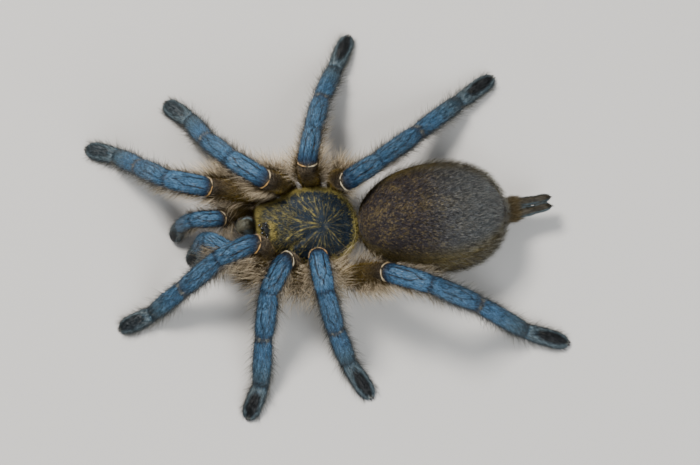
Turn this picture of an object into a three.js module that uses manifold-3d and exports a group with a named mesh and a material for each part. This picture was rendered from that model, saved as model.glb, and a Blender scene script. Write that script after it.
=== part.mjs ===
// A tarantula at life size: an adult female baboon spider with steel-blue legs and a golden-brown body,
// standing at ease on a flat floor. Millimetres, +Z up. The head points along -Y and the spider's right
// side is on -X. The model is worked out round the fovea, the pit in the middle of the carapace, and is
// moved at the end so that the origin lies under the middle of the whole animal, at floor level.
import * as THREE from 'three';
import { mergeVertices } from 'three/addons/utils/BufferGeometryUtils.js';
import Module from 'manifold-3d';

const wasm = await Module();
wasm.setup();

// ---------------------------------------------------------------- driving dimensions

const GAP = 0.3;                 // parting between pieces that meet
const SEAM = 0.1;                // how far two pieces that are joined into one run into each other
const SOCKET = 0.05;             // clearance round each eye
const LIMB_SIDES = 9;            // facets round a leg
const BODY_SIDES = 22;           // facets round the abdomen and carapace

// Heights are above the floor; front and rear are distances from the fovea along the midline.
// The head and carapace lean a little to the left, so that the right rim is raised, and lie off the midline.
const CARAPACE = { front: 12.1, rear: 5.85, halfWidth: 7.4, rim: 7.1, top: 10.8, headTop: 11.6, belly: 6.8 };
const HEAD = { halfWidth: { right: 5.1, left: 4.45 }, browDrop: 3.0 };
const LEAN = 8;
const ASIDE = -0.7;
const LEFT_NARROWER = 0.95;         // the raised left legs press on that side
const TUBERCLE = { middle: -10.7, halfLength: 1.35, halfWidth: 1.65, rise: 0.75 };
const STERNUM = { middle: -3.6, halfLength: 6.2, halfWidth: 2.5, low: 2.6, high: 5.2 };
const WAIST = { from: [0, 3.0, 4.1], to: [-0.1, 6.2, 4.7], radius: 0.95 };
const CHELICERA = { root: -12.6, length: 3.6, width: 3.9, height: 5.4, middle: 7.2, droop: 20, shift: 0.4 };
const FANG = { root: -15.3, out: 2.2, height: 2.9, length: 4.2, radius: 0.5, tip: 0.26, curl: 1.1 };
const SPINNERET = { base: 33.3, spread: 1.15, side: -0.5, height: 4.7, length: 8.7, radius: 1.05, turn: 5 };

// The abdomen's nose tips down by nose, and its underside sinks by settle so that it lies on the floor.
const ABDOMEN = {
  centre: 19.5, side: 0.2, turn: 2,
  length: 27.6, width: 20.8, height: 17.4, blunt: 2.3,
  belly: 0.48, nose: 1, settle: 0.35,
};

// One row for each pair of limbs, front to back. The hip and the root of the coxa are given as distance
// ahead of the fovea, distance out from the midline, and height. The lengths are femur, patella, tibia,
// metatarsus and tarsus; a palp has no metatarsus. girth scales every width.
const PAIRS = {
  palp: { root: [10.5, 3.3, 3.7], hip: [12.9, 6.9, 4.1], lengths: [8.0, 5.7, 6.0, 4.7], girth: 0.82 },
  leg1: { root: [7.8, 3.6, 4.0], hip: [9.3, 8.2, 4.6], lengths: [13.5, 8.0, 10.4, 9.0, 6.5], girth: 1 },
  leg2: { root: [4.9, 3.7, 4.0], hip: [5.3, 8.9, 4.6], lengths: [11.5, 8.1, 9.2, 9.2, 6.5], girth: 1 },
  leg3: { root: [1.8, 3.7, 4.0], hip: [1.3, 8.9, 4.5], lengths: [10.0, 8.3, 9.2, 8.7, 7.8], girth: 0.98 },
  leg4: { root: [-1.3, 3.4, 4], hip: [-2.7, 8.4, 4.6], lengths: [12.5, 8.9, 11.9, 12.4, 8.3], girth: 0.98 },
};

// The stance. heading is each segment's compass direction in degrees, 0 straight ahead and 90 straight out
// to the limb's own side. pitch is degrees above level for every segment but the tibia, whose pitch is
// worked out so that the tip of the foot comes down to the floor. bow swells the femur outward, clear of
// the carapace.
const STANCE = {
  palp_right: { heading: [-32, 3, 17, -35], pitch: [41, 9, null, -62], bow: 0.22 },
  palp_left: { heading: [-48, -34, 3, 45], pitch: [45, 2, null, -50], bow: 1.0 },
  leg1_right: { heading: [4, 12, 46, 48, 22], pitch: [37, 22, null, -46, -9], bow: 0.2 },
  leg2_right: { heading: [-8, 41, 54, 67, 43], pitch: [69, -12, null, -44, -9], bow: 0.6 },
  leg3_right: { heading: [64, 105, 107, 116, 118], pitch: [80, -25, null, -30, -9], bow: 0.5 },
  leg4_right: { heading: [-117, 147, 142, 143, 148], pitch: [76, -26, null, -25, -9], bow: 1.5 },
  leg1_left: { heading: [-63, 13, 24, 23, 16], pitch: [64, -21, null, -37, -9], bow: 0.13 },
  leg2_left: { heading: [-66, 53, 75, 80, 60], pitch: [70, -27, null, -32, -9], bow: 1.0 },
  leg3_left: { heading: [-81, 94, 101, 111, 118], pitch: [70, 16, null, -54, -9], bow: 2.0 },
  leg4_left: { heading: [163, 151, 163, 153, 159], pitch: [53, 20, null, -39, -9], bow: 0 },
};
const TIP_HEIGHT = 0.55;         // the middle of the claw tuft above the floor

// Half widths of the limb segments at their start, middle and end, coat included, and how tall each is
// for its width.
const GIRTHS = {
  coxa: { start: 1.35, middle: 1.6, end: 1.55, tall: 0.92 },
  femur: { start: 1.55, middle: 2.0, end: 1.8, tall: 1.06 },
  patella: { start: 1.82, middle: 1.92, end: 1.74, tall: 0.96 },
  tibia: { start: 1.72, middle: 1.88, end: 1.66, tall: 0.96 },
  metatarsus: { start: 1.62, middle: 1.78, end: 1.55, tall: 0.88 },
  tarsus: { start: 1.55, middle: 1.85, end: 1.5, tall: 0.68 },
};

const BLUE = 0x3d5a75;
const SLATE = 0x44565c;
const GOLDEN = 0x5b4a26;
const UMBER = 0x3d2c1d;

const UP = new THREE.Vector3(0, 0, 1);
const BACK = new THREE.Vector3(0, 1, 0);
const rad = THREE.MathUtils.degToRad;
const lerp = THREE.MathUtils.lerp;

// ---------------------------------------------------------------- small helpers

function part(name, geometry, color, roughness = 0.8, metalness = 0) {
  const mesh = new THREE.Mesh(geometry, new THREE.MeshStandardMaterial({ color, roughness, metalness }));
  mesh.name = name;
  return mesh;
}

// A mesh with its shared corners merged becomes a solid that can be joined and cut.
function toSolid(geometry) {
  const bare = geometry.clone();
  bare.deleteAttribute('normal');
  bare.deleteAttribute('uv');
  const merged = mergeVertices(bare, 1e-4);
  const vertProperties = new Float32Array(merged.attributes.position.array);
  const triVerts = [];
  const index = merged.index.array;
  for (let i = 0; i < index.length; i += 3) {
    const [a, b, c] = [index[i], index[i + 1], index[i + 2]];
    if (a !== b && b !== c && c !== a) triVerts.push(a, b, c);
  }
  const mesh = new wasm.Mesh({ numProp: 3, vertProperties, triVerts: new Uint32Array(triVerts) });
  return new wasm.Manifold(mesh);
}

function toGeometry(solid) {
  const { vertProperties, triVerts } = solid.getMesh();
  const geometry = new THREE.BufferGeometry();
  geometry.setAttribute('position', new THREE.BufferAttribute(new Float32Array(vertProperties), 3));
  geometry.setIndex(new THREE.BufferAttribute(new Uint32Array(triVerts), 1));
  return geometry;
}

function join(...pieces) {
  return toGeometry(pieces.map(toSolid).reduce((whole, piece) => whole.add(piece)));
}

function cut(body, ...tools) {
  return toGeometry(tools.map(toSolid).reduce((rest, tool) => rest.subtract(tool), toSolid(body)));
}

// A closed body of rings: a unit lathe whose every ring is put where place(t, angle, radius) says. t runs
// from 0 to 1 along the body; radius is 1 on the wall and 0 at the middle of the two ends.
function ringed(stations, sides, place) {
  const last = stations.length - 1;
  const wall = stations.map((_, i) => new THREE.Vector2(1, i));
  const profile = [new THREE.Vector2(0, 0), ...wall, new THREE.Vector2(0, last)];
  const geometry = new THREE.LatheGeometry(profile, sides);
  const at = geometry.attributes.position;
  for (let i = 0; i < at.count; i++) {
    const [x, y, z] = [at.getX(i), Math.round(at.getY(i)), at.getZ(i)];
    const radius = Math.round(Math.hypot(x, z));
    const point = place(stations[y], Math.atan2(x, z), radius);
    at.setXYZ(i, point.x, point.y, point.z);
  }
  return geometry;
}

function evenly(count, from = 0, to = 1) {
  return Array.from({ length: count }, (_, i) => lerp(from, to, i / (count - 1)));
}

// Whatever dips below the floor is taken off, which leaves a flat sole to rest on.
function restOnFloor(geometry) {
  return toGeometry(toSolid(geometry).trimByPlane([0, 0, 1], 0));
}

// ---------------------------------------------------------------- limbs

// A unit vector from a heading and a pitch in degrees; side is -1 on the right and 1 on the left.
function direction(heading, pitch, side) {
  const [h, p] = [rad(heading), rad(pitch)];
  return new THREE.Vector3(side * Math.sin(h) * Math.cos(p), -Math.cos(h) * Math.cos(p), Math.sin(p));
}

// The joints of a limb: root of the coxa, hip, knee and so on to the tip.
function limbJoints(pair, stance, side) {
  const { root, hip, lengths } = pair;
  const place = ([ahead, out, high]) => new THREE.Vector3(side * out, -ahead, high);
  const drop = lengths.reduce((sum, length, i) => {
    return stance.pitch[i] === null ? sum : sum + length * Math.sin(rad(stance.pitch[i]));
  }, hip[2] - TIP_HEIGHT);
  const joints = [place(root), place(hip)];
  lengths.forEach((length, i) => {
    const pitch = stance.pitch[i] ?? -THREE.MathUtils.radToDeg(Math.asin(drop / length));
    joints.push(joints.at(-1).clone().addScaledVector(direction(stance.heading[i], pitch, side), length));
  });
  return joints;
}

// The middle line of a limb: straight along each segment and rounded at each joint by as much as the girth
// needs. Each segment's share ends in the middle of the rounding.
function limbLine(joints, radius) {
  const bends = joints.slice(1, -1).map((joint, i) => {
    const inward = joint.clone().sub(joints[i]).normalize();
    const outward = joints[i + 2].clone().sub(joint).normalize();
    const reach = Math.max(0.5, 1.2 * radius * Math.tan(inward.angleTo(outward) / 2));
    const from = joint.clone().addScaledVector(inward, -reach);
    const to = joint.clone().addScaledVector(outward, reach);
    return new THREE.QuadraticBezierCurve3(from, joint, to);
  });
  return joints.slice(0, -1).map((joint, i) => {
    const [before, after] = [bends[i - 1], bends[i]];
    const stops = [];
    if (before) stops.push([before, 0.5], [before, 1]);
    else stops.push([new THREE.LineCurve3(joint, joints[i + 1]), 0]);
    if (after) stops.push([after, 0], [after, 0.5]);
    else stops.push([new THREE.LineCurve3(joint, joints[i + 1]), 1]);
    return stops.map(([curve, t]) => ({ point: curve.getPoint(t), along: curve.getTangent(t) }));
  });
}

// One segment as a body of rings along its share of the middle line. from and to are the partings left at
// its two ends, bow pushes its middle out to the side, and round closes its far end with a dome.
function segment(stops, girth, scale, { from = GAP / 2, to = GAP / 2, bow = null, round = false } = {}) {
  const first = stops[0];
  const last = stops.at(-1);
  const lengths = [0];
  stops.slice(1).forEach((stop, i) => lengths.push(lengths[i] + stop.point.distanceTo(stops[i].point)));
  const total = lengths.at(-1);
  const line = (distance) => {
    let i = 0;
    while (i < stops.length - 2 && distance > lengths[i + 1]) i++;
    const t = (distance - lengths[i]) / (lengths[i + 1] - lengths[i]);
    const point = stops[i].point.clone().lerp(stops[i + 1].point, t);
    const along = stops[i].along.clone().lerp(stops[i + 1].along, THREE.MathUtils.clamp(t, 0, 1));
    return { point, along: along.normalize() };
  };
  const inner = lengths.slice(1, -1);
  const middle = [lerp(inner[0] ?? 0, inner.at(-1) ?? total, 0.5)];
  const tip = round ? [0.8, 0.95].map((t) => t * total) : [];
  const stations = [from, ...inner, ...middle, ...tip, total - to].sort((a, b) => a - b);
  const sideways = last.point.clone().sub(first.point).cross(UP).normalize();
  return ringed(stations, LIMB_SIDES, (distance, angle, radius) => {
    const { point, along } = line(distance);
    const t = distance / total;
    const across = sideways.clone().addScaledVector(along, -sideways.dot(along)).normalize();
    const upward = across.clone().cross(along);
    const wall = lerp(t < 0.5 ? girth.start : girth.end, girth.middle, Math.sin(Math.PI * t));
    const dome = round ? Math.sqrt(Math.max(0.05, 1 - Math.max(0, (t - 0.68) / 0.34) ** 2)) : 1;
    const reach = radius * wall * scale * dome;
    point.addScaledVector(across, reach * Math.sin(angle));
    point.addScaledVector(upward, reach * Math.cos(angle) * girth.tall);
    if (bow) point.addScaledVector(bow, Math.sin(Math.PI * t));
    return point;
  });
}

function limb(name, pair, stance, side) {
  const isPalp = pair.lengths.length === 4;
  const names = isPalp ? ['coxa', 'femur', 'patella', 'tibia', 'tarsus']
    : ['coxa', 'femur', 'patella', 'tibia', 'metatarsus', 'tarsus'];
  const joints = limbJoints(pair, stance, side);
  const line = limbLine(joints, GIRTHS.femur.middle * pair.girth);
  const bow = new THREE.Vector3(side * stance.bow, 0, 0);
  const shapes = {};
  names.forEach((kind, i) => {
    const joined = kind === 'coxa' || kind === 'metatarsus' ? { to: -SEAM } : {};
    const tip = kind === 'tarsus' ? { round: true, to: 0, from: isPalp ? GAP / 2 : -SEAM } : {};
    const hip = kind === 'femur' ? { from: -SEAM, bow } : {};
    shapes[kind] = segment(line[i], GIRTHS[kind], pair.girth, { ...joined, ...tip, ...hip });
  });
  const foot = isPalp ? shapes.tarsus : join(shapes.metatarsus, shapes.tarsus);
  const group = new THREE.Group();
  group.add(part(`${name}_femur`, join(shapes.coxa, shapes.femur), GOLDEN));
  group.add(part(`${name}_patella`, shapes.patella, BLUE, 0.6, 0.2));
  group.add(part(`${name}_tibia`, shapes.tibia, BLUE, 0.6, 0.2));
  group.add(part(`${name}_foot`, restOnFloor(foot), SLATE, 0.75));
  return group;
}

// ---------------------------------------------------------------- head and trunk

// Half width of the carapace from its front edge (0) to its rear edge (1): a squared head, widest at the
// fovea, and rounded to the waist.
function carapaceHalfWidth(t, side) {
  const head = (side < 0 ? HEAD.halfWidth.right : HEAD.halfWidth.left) + 0.6 * t;
  const flare = THREE.MathUtils.smoothstep(t, 0.11, 0.5);
  const rounded = Math.sqrt(Math.max(0, 1 - (Math.max(0, t - 0.62) / 0.4) ** 2));
  const corner = Math.sqrt(Math.max(0, 1 - (Math.max(0, 0.1 - t) / 0.11) ** 2));
  const squeeze = side < 0 ? 1 : LEFT_NARROWER;
  return lerp(head, CARAPACE.halfWidth * squeeze, flare) * rounded * lerp(0.9, 1, corner);
}

// Height of the carapace along the midline: the head is raised, then comes a saddle, the fovea and the
// slope down to the waist.
function carapaceCrest(t) {
  const body = lerp(CARAPACE.headTop, CARAPACE.top, THREE.MathUtils.smoothstep(t, 0.1, 0.55));
  const brow = 1 - Math.sqrt(Math.max(0, 1 - (Math.max(0, 0.16 - t) / 0.17) ** 2));
  const slope = THREE.MathUtils.smoothstep(t, 0.6, 1.02);
  return body - HEAD.browDrop * brow - (CARAPACE.top - CARAPACE.rim - 0.6) * slope;
}

const LEANING = new THREE.Matrix4().makeTranslation(ASIDE, 0, CARAPACE.rim)
  .multiply(new THREE.Matrix4().makeRotationY(rad(LEAN)))
  .multiply(new THREE.Matrix4().makeTranslation(0, 0, -CARAPACE.rim));

function carapace() {
  const length = CARAPACE.front + CARAPACE.rear;
  const stations = [0, 0.03, 0.09, 0.18, 0.3, 0.43, 0.56, 0.68, 0.79, 0.88, 0.95, 1];
  const shell = ringed(stations, BODY_SIDES, (t, angle, radius) => {
    const rise = Math.max(0, Math.cos(angle)) ** 0.78;
    const under = Math.max(0, -Math.cos(angle));
    const across = Math.sign(Math.sin(angle)) * Math.abs(Math.sin(angle)) ** 0.92;
    const high = (carapaceCrest(t) - CARAPACE.rim) * rise - (CARAPACE.rim - CARAPACE.belly) * under;
    const x = radius * carapaceHalfWidth(t, across) * across;
    return new THREE.Vector3(x, lerp(-CARAPACE.front, CARAPACE.rear, t), CARAPACE.rim + radius * high);
  });
  const crest = carapaceCrest((TUBERCLE.middle + CARAPACE.front) / length);
  const knob = new THREE.SphereGeometry(1, 12, 6);
  knob.scale(TUBERCLE.halfWidth, TUBERCLE.halfLength, TUBERCLE.rise * 2);
  knob.translate(0, TUBERCLE.middle, crest - TUBERCLE.rise);
  return { shell: join(shell, knob).applyMatrix4(LEANING), crest };
}

// Eight small eyes crowd the tubercle: two round ones look up from its front half, four larger ones stand
// at its corners, and two slim ones lie beside the rear pair.
const EYES = [
  { name: 'front_median', out: 0.42, ahead: 0.5, radius: 0.27 },
  { name: 'front_lateral', out: 1.12, ahead: 0.85, radius: 0.3 },
  { name: 'rear_lateral', out: 1.28, ahead: -0.35, radius: 0.26 },
  { name: 'rear_median', out: 0.82, ahead: -0.2, radius: 0.2 },
];

function eyes(crest) {
  const found = [];
  for (const side of [-1, 1]) {
    for (const { name, out, ahead, radius } of EYES) {
      const u = out / TUBERCLE.halfWidth;
      const v = ahead / TUBERCLE.halfLength;
      const lift = Math.sqrt(Math.max(0, 1 - u * u - v * v));
      const height = crest + TUBERCLE.rise * (2 * lift - 1);
      const middle = new THREE.Vector3(side * out, TUBERCLE.middle - ahead, height).applyMatrix4(LEANING);
      found.push({ name: `eye_${name}_${side < 0 ? 'right' : 'left'}`, middle, radius });
    }
  }
  return found;
}

function ball(middle, radius) {
  const geometry = new THREE.SphereGeometry(radius, 8, 6);
  geometry.translate(middle.x, middle.y, middle.z);
  return geometry;
}

// The abdomen is a blunt egg, broadest just behind its middle and a little flatter below than above.
function abdomen() {
  const { length, width, height, blunt, belly, nose, settle, turn, side, centre } = ABDOMEN;
  const stations = evenly(15, 0.03, 0.97).map((t) => 0.5 - 0.5 * Math.cos(Math.PI * t));
  const geometry = ringed(stations, BODY_SIDES, (t, angle, radius) => {
    const s = 2 * t - 1;
    const round = (1 - Math.abs(s) ** blunt) ** (1 / blunt);
    const egg = round * (1 + 0.07 * s - 0.05 * s * s);
    const half = height * (Math.cos(angle) > 0 ? 1 - belly : belly);
    const x = radius * egg * (width / 2) * Math.sin(angle);
    const z = radius * egg * half * Math.cos(angle);
    return new THREE.Vector3(x, (s * length) / 2, z + height * belly - nose * s - settle);
  });
  geometry.rotateZ(rad(turn));
  geometry.translate(side, centre, 0);
  return restOnFloor(geometry);
}

function sternum() {
  const { middle, halfLength, halfWidth, low, high } = STERNUM;
  return ringed(evenly(7, 0.03, 0.97), 12, (t, angle, radius) => {
    const s = 2 * t - 1;
    const round = Math.sqrt(Math.max(0, 1 - s * s)) ** 0.8;
    const y = middle + s * halfLength;
    const rise = 0.5 * (high - low) * Math.sqrt(round);
    const z = lerp(low, high, 0.5) + radius * rise * Math.cos(angle);
    return new THREE.Vector3(radius * halfWidth * round * Math.sin(angle), y, z);
  });
}

function waist() {
  const from = new THREE.Vector3(...WAIST.from);
  const to = new THREE.Vector3(...WAIST.to);
  const geometry = new THREE.CylinderGeometry(WAIST.radius, WAIST.radius, from.distanceTo(to), 10);
  const lie = to.clone().sub(from).normalize();
  geometry.applyQuaternion(new THREE.Quaternion().setFromUnitVectors(BACK, lie));
  const middle = from.clone().lerp(to, 0.5);
  geometry.translate(middle.x, middle.y, middle.z);
  return geometry;
}

// A chelicera: a stout block, deep at the root and rounded in front, with the fang folded back under it.
function chelicera(side) {
  const { root, length, width, height, middle, droop, shift } = CHELICERA;
  const geometry = ringed([0.0, 0.06, 0.2, 0.45, 0.7, 0.88, 1], 12, (t, angle, radius) => {
    const front = Math.sqrt(Math.max(0.02, 1 - Math.max(0, (t - 0.2) / 0.81) ** 2));
    const back = lerp(0.8, 1, THREE.MathUtils.smoothstep(t, 0, 0.2));
    const reach = radius * front * back;
    const z = 0.5 * height * reach * Math.cos(angle) + 0.35 * (1 - front);
    return new THREE.Vector3(-0.5 * width * reach * Math.sin(angle), -t * length, z);
  });
  geometry.rotateX(rad(droop));
  geometry.translate(side * (width / 2 + GAP / 2) + shift, root, middle);
  return geometry.applyMatrix4(LEANING);
}

function fang(side) {
  const { root, out, height, length, radius, tip, curl } = FANG;
  const start = new THREE.Vector3(side * out + CHELICERA.shift, root, height);
  const bend = start.clone().add(new THREE.Vector3(0, length * 0.45, -curl));
  const end = start.clone().add(new THREE.Vector3(-side * 0.2, length, -0.35));
  const curve = new THREE.QuadraticBezierCurve3(start, bend, end);
  return ringed(evenly(5), 7, (t, angle, wall) => {
    const point = curve.getPoint(t);
    const along = curve.getTangent(t);
    const across = new THREE.Vector3(1, 0, 0);
    const upward = along.clone().cross(across);
    const reach = wall * lerp(radius, tip, t);
    point.addScaledVector(across, reach * Math.sin(angle));
    return point.addScaledVector(upward, -reach * Math.cos(angle));
  }).applyMatrix4(LEANING);
}

// The two long spinnerets trail behind: a thick root and two slimmer joints, drawn as one tapering finger.
function spinneret(side) {
  const { base, spread, height, length, radius, turn } = SPINNERET;
  const geometry = ringed([0, 0.32, 0.37, 0.62, 0.66, 0.93, 1], 9, (t, angle, wall) => {
    const joint = t < 0.34 ? 1 : 0.72;
    const end = Math.sqrt(Math.max(0.2, 1 - Math.max(0, (t - 0.85) / 0.16) ** 2));
    const reach = wall * radius * joint * end;
    return new THREE.Vector3(reach * Math.sin(angle), t * length, reach * Math.cos(angle));
  });
  geometry.rotateX(rad(3));
  geometry.rotateZ(rad(turn + side * 2.2));
  geometry.translate(SPINNERET.side + side * spread, base, height);
  return geometry;
}

// ---------------------------------------------------------------- the whole animal

const spider = new THREE.Group();

for (const [name, stance] of Object.entries(STANCE)) {
  const [pair, hand] = name.split('_');
  spider.add(limb(name, PAIRS[pair], stance, hand === 'right' ? -1 : 1));
}

const { shell, crest } = carapace();
const eyeList = eyes(crest);
const sockets = eyeList.map(({ middle, radius }) => ball(middle, radius + SOCKET));
spider.add(part('carapace', cut(shell, ...sockets), GOLDEN, 0.6));
for (const { name, middle, radius } of eyeList) {
  spider.add(part(name, ball(middle, radius), 0x0a0a0c, 0.1));
}
spider.add(part('sternum', sternum(), UMBER));
spider.add(part('waist', waist(), UMBER));
spider.add(part('abdomen', abdomen(), UMBER, 0.9));

for (const [hand, side] of [['right', -1], ['left', 1]]) {
  spider.add(part(`chelicera_${hand}`, chelicera(side), SLATE, 0.7));
  spider.add(part(`fang_${hand}`, fang(side), 0x120c0a, 0.25));
  spider.add(part(`spinneret_${hand}`, spinneret(side), GOLDEN));
}

const bounds = new THREE.Box3().setFromObject(spider, true);
const middle = bounds.getCenter(new THREE.Vector3());
spider.position.set(-middle.x, -middle.y, -bounds.min.z);

const tarantula = new THREE.Group();
tarantula.add(spider);

export default tarantula;
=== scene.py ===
# %% [markdown]
# # A tarantula in Blender
#
# A tarantula looks furry, but its hair is laid over a hard and quite smooth body. This lesson follows that
# order. It starts from a plain solid model of the spider, finds the middle line of every leg in it, grows one
# smooth skin inside the solids, and then dresses that skin with hair, eyes, fangs and claws.
#
# All the modelling is done in millimetres, because a spider is small, and each mesh is turned into metres
# when its object is made.

# %% Load the solid model
import math

import bpy
import numpy as np
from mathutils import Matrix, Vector
from mathutils.bvhtree import BVHTree
from mathutils.kdtree import KDTree


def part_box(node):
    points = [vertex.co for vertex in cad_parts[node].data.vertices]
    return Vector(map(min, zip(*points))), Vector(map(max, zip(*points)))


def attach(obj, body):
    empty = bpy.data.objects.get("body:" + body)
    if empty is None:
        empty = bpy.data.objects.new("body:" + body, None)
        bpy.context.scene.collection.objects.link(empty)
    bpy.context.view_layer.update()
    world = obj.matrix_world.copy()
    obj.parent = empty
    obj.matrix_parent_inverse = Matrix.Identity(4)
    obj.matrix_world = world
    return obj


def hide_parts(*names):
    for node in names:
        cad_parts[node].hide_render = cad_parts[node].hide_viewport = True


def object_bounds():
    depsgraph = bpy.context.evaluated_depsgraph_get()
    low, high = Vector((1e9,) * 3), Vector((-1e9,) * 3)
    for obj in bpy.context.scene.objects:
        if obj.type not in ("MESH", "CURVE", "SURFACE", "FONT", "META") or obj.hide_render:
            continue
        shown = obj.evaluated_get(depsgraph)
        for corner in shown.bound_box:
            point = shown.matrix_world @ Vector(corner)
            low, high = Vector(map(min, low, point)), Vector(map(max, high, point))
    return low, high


MM = 0.001
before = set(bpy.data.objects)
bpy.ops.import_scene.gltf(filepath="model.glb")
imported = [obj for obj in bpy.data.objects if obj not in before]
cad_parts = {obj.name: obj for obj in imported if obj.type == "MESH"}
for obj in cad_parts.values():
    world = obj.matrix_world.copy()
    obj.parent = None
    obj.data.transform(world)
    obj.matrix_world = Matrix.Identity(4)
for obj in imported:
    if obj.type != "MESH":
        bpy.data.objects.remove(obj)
cad_box = [list(corner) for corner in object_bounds()]
random = np.random.default_rng(8)


def read(items, key, width=1, kind=float):
    """One property of many mesh items, as rows of an array."""
    values = np.empty(len(items) * width, kind)
    items.foreach_get(key, values)
    return values.reshape(-1, width) if width > 1 else values


def cad_mesh(node):
    """A solid's corners in millimetres, without doubles, and its triangles."""
    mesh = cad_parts[node].data
    points = (read(mesh.vertices, "co", 3) / MM).round(3)
    points, index = np.unique(points, axis=0, return_inverse=True)
    mesh.calc_loop_triangles()
    return points, index.ravel()[read(mesh.loop_triangles, "vertices", 3, np.int32)]


def middle(node):
    """The middle of a solid's box, in millimetres."""
    low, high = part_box(node)
    return np.array((low + high) / 2) / MM


def ends(node, count=10):
    """The middles of a solid's front end and rear end."""
    points = cad_mesh(node)[0]
    order = points[:, 1].argsort()
    return points[order[:count]].mean(0), points[order[-count:]].mean(0)


def in_mm(box):
    return [[round(c / MM, 1) for c in corner] for corner in box]


print("solids:", len(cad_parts), "box in mm:", in_mm(cad_box))

# %% [markdown]
# ## Camera, floor and light
#
# The spider is seen from almost straight above, a little from its left side, so that it lies across the frame
# with its head to the left. A long lens far away keeps the legs from spreading towards the edges, as a macro
# lens does. The floor is plain and pale. One broad lamp stands in for a softbox, a second fills the
# shadows, and the sky lifts the rest: a hairy surface needs a light with a clear direction, because that is
# what makes the single hairs show.

# %% Camera, floor and lights
CAMERA_HEIGHT = math.radians(75)      # above the floor, as seen from the spider
CAMERA_TURN = math.radians(-6.7)      # from the spider's left side towards its head
CAMERA_DISTANCE = 0.468
FIELD_WIDTH = 0.126                   # how much the frame takes in at the spider
SENSOR = 36.0
FLOOR_HALF = 2.0
AIM = Vector((5.3, 4.7, 0.7)) * MM    # from the middle of the animal's box to the middle of the frame


def look_at(obj, target):
    """Turn a camera or lamp so that it points at a place."""
    obj.rotation_euler = (target - obj.location).to_track_quat("-Z", "Y").to_euler()


def link(obj):
    bpy.context.scene.collection.objects.link(obj)
    return obj


box_middle = (Vector(cad_box[0]) + Vector(cad_box[1])) / 2
aim = box_middle + AIM
towards_camera = Vector((
    math.cos(CAMERA_HEIGHT) * math.cos(CAMERA_TURN),
    math.cos(CAMERA_HEIGHT) * math.sin(CAMERA_TURN),
    math.sin(CAMERA_HEIGHT),
))
camera = link(bpy.data.objects.new("camera", bpy.data.cameras.new("camera")))
camera.location = aim + towards_camera * CAMERA_DISTANCE
camera.data.sensor_width = SENSOR
camera.data.lens = SENSOR * CAMERA_DISTANCE / FIELD_WIDTH
camera.data.clip_start = 0.01
look_at(camera, aim)
bpy.context.scene.camera = camera

floor_mesh = bpy.data.meshes.new("floor")
floor_corners = [(x * FLOOR_HALF, y * FLOOR_HALF, 0) for x, y in ((-1, -1), (1, -1), (1, 1), (-1, 1))]
floor_mesh.from_pydata(floor_corners, [], [(0, 1, 2, 3)])
floor = link(bpy.data.objects.new("floor", floor_mesh))


def lamp(name, place, size, power, colour):
    """A square softbox that faces the spider."""
    light = bpy.data.lights.new(name, "AREA")
    light.size = size
    light.energy = power
    light.color = colour
    obj = link(bpy.data.objects.new(name, light))
    obj.location = box_middle + Vector(place)
    look_at(obj, box_middle)


lamp("key_softbox", (-0.36, -0.26, 0.65), 0.22, 8.2, (1.0, 0.97, 0.93))
lamp("fill_softbox", (0.52, 0.25, 0.45), 0.50, 4.4, (0.92, 0.96, 1.0))
world = bpy.data.worlds.new("studio")
world.use_nodes = True
sky = world.node_tree.nodes["Background"].inputs
sky["Color"].default_value = (0.86, 0.90, 0.95, 1)
sky["Strength"].default_value = 0.42
bpy.context.scene.world = world
print("lens", round(camera.data.lens, 1), "mm, camera", [round(c, 3) for c in camera.location])

# %% [markdown]
# ## The middle line of each leg
#
# Hair, stripes and rings all follow a leg, so the first thing to know about a leg is its middle line. The
# solid model gives each leg as four solids, and their corners lie on the wall of a bent tube. The line is
# found by trial: start with rough joints, measure how unevenly the corners stand from the line, and move the
# joints to even it out. This is a least-squares fit, done with small steps and a table of how each joint
# changes each distance. Tracing the joints by hand would be quicker to write, but would not follow the
# solids if the pose were changed.

# %% Fit a rounded line to every limb
RIGHT, LEFT = -1, 1
HANDS = {"right": RIGHT, "left": LEFT}
PIECES = ("femur", "patella", "tibia", "foot")
LIMBS = [f"{pair}_{hand}" for pair in ("palp", "leg1", "leg2", "leg3", "leg4") for hand in HANDS]
COXA, FEMUR, PATELLA, TIBIA, METATARSUS, TARSUS = range(6)
ROUNDING = 2.2                        # how widely the line is rounded at a joint, in mm
FIT_STEPS = 9
STOPS, FINE_STOPS = 11, 33            # points along each segment of the line, while fitting and at the end
HIP_OUT, HIP_UP = 4.5, 0.6            # a first guess for the joint between coxa and femur, from the root
WRIST = (0.42, 0.58)                  # a first guess for the joint in the foot, between its start and tip
NEAR_JOINT = 0.9                      # corners nearer to a joint than this tell nothing about the walls
NUDGE = 0.01                          # how far a joint is moved to see what changes, in mm
CAUTION = 0.3                         # keeps the steps of the fit small
JOINT_WEIGHT = 3                      # how strictly the joints stay where two solids meet


def unit(vectors):
    return vectors / np.maximum(np.linalg.norm(vectors, axis=-1, keepdims=True), 1e-9)


def resample(points, count):
    """The same line with evenly spaced points."""
    steps = np.linalg.norm(np.diff(points, axis=0), axis=1)
    along = np.concatenate([[0], np.cumsum(steps)])
    wanted = np.linspace(0, along[-1], count)
    return np.stack([np.interp(wanted, along, points[:, axis]) for axis in range(3)], axis=1)


def bent_line(t, start, corner, end):
    """Points at the shares t of a curve from start to end that leans towards the corner."""
    t = t[:, None]
    return (1 - t) ** 2 * start + 2 * t * (1 - t) * corner + t ** 2 * end


def curve_through(before, corner, after, t):
    """Points on the rounding of one joint."""
    inward = unit(corner - before)
    outward = unit(after - corner)
    angle = math.acos(float(np.clip(inward @ outward, -1, 1)))
    reach = max(0.5, ROUNDING * math.tan(angle / 2))
    return bent_line(t, corner - inward * reach, corner, corner + outward * reach)


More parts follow.
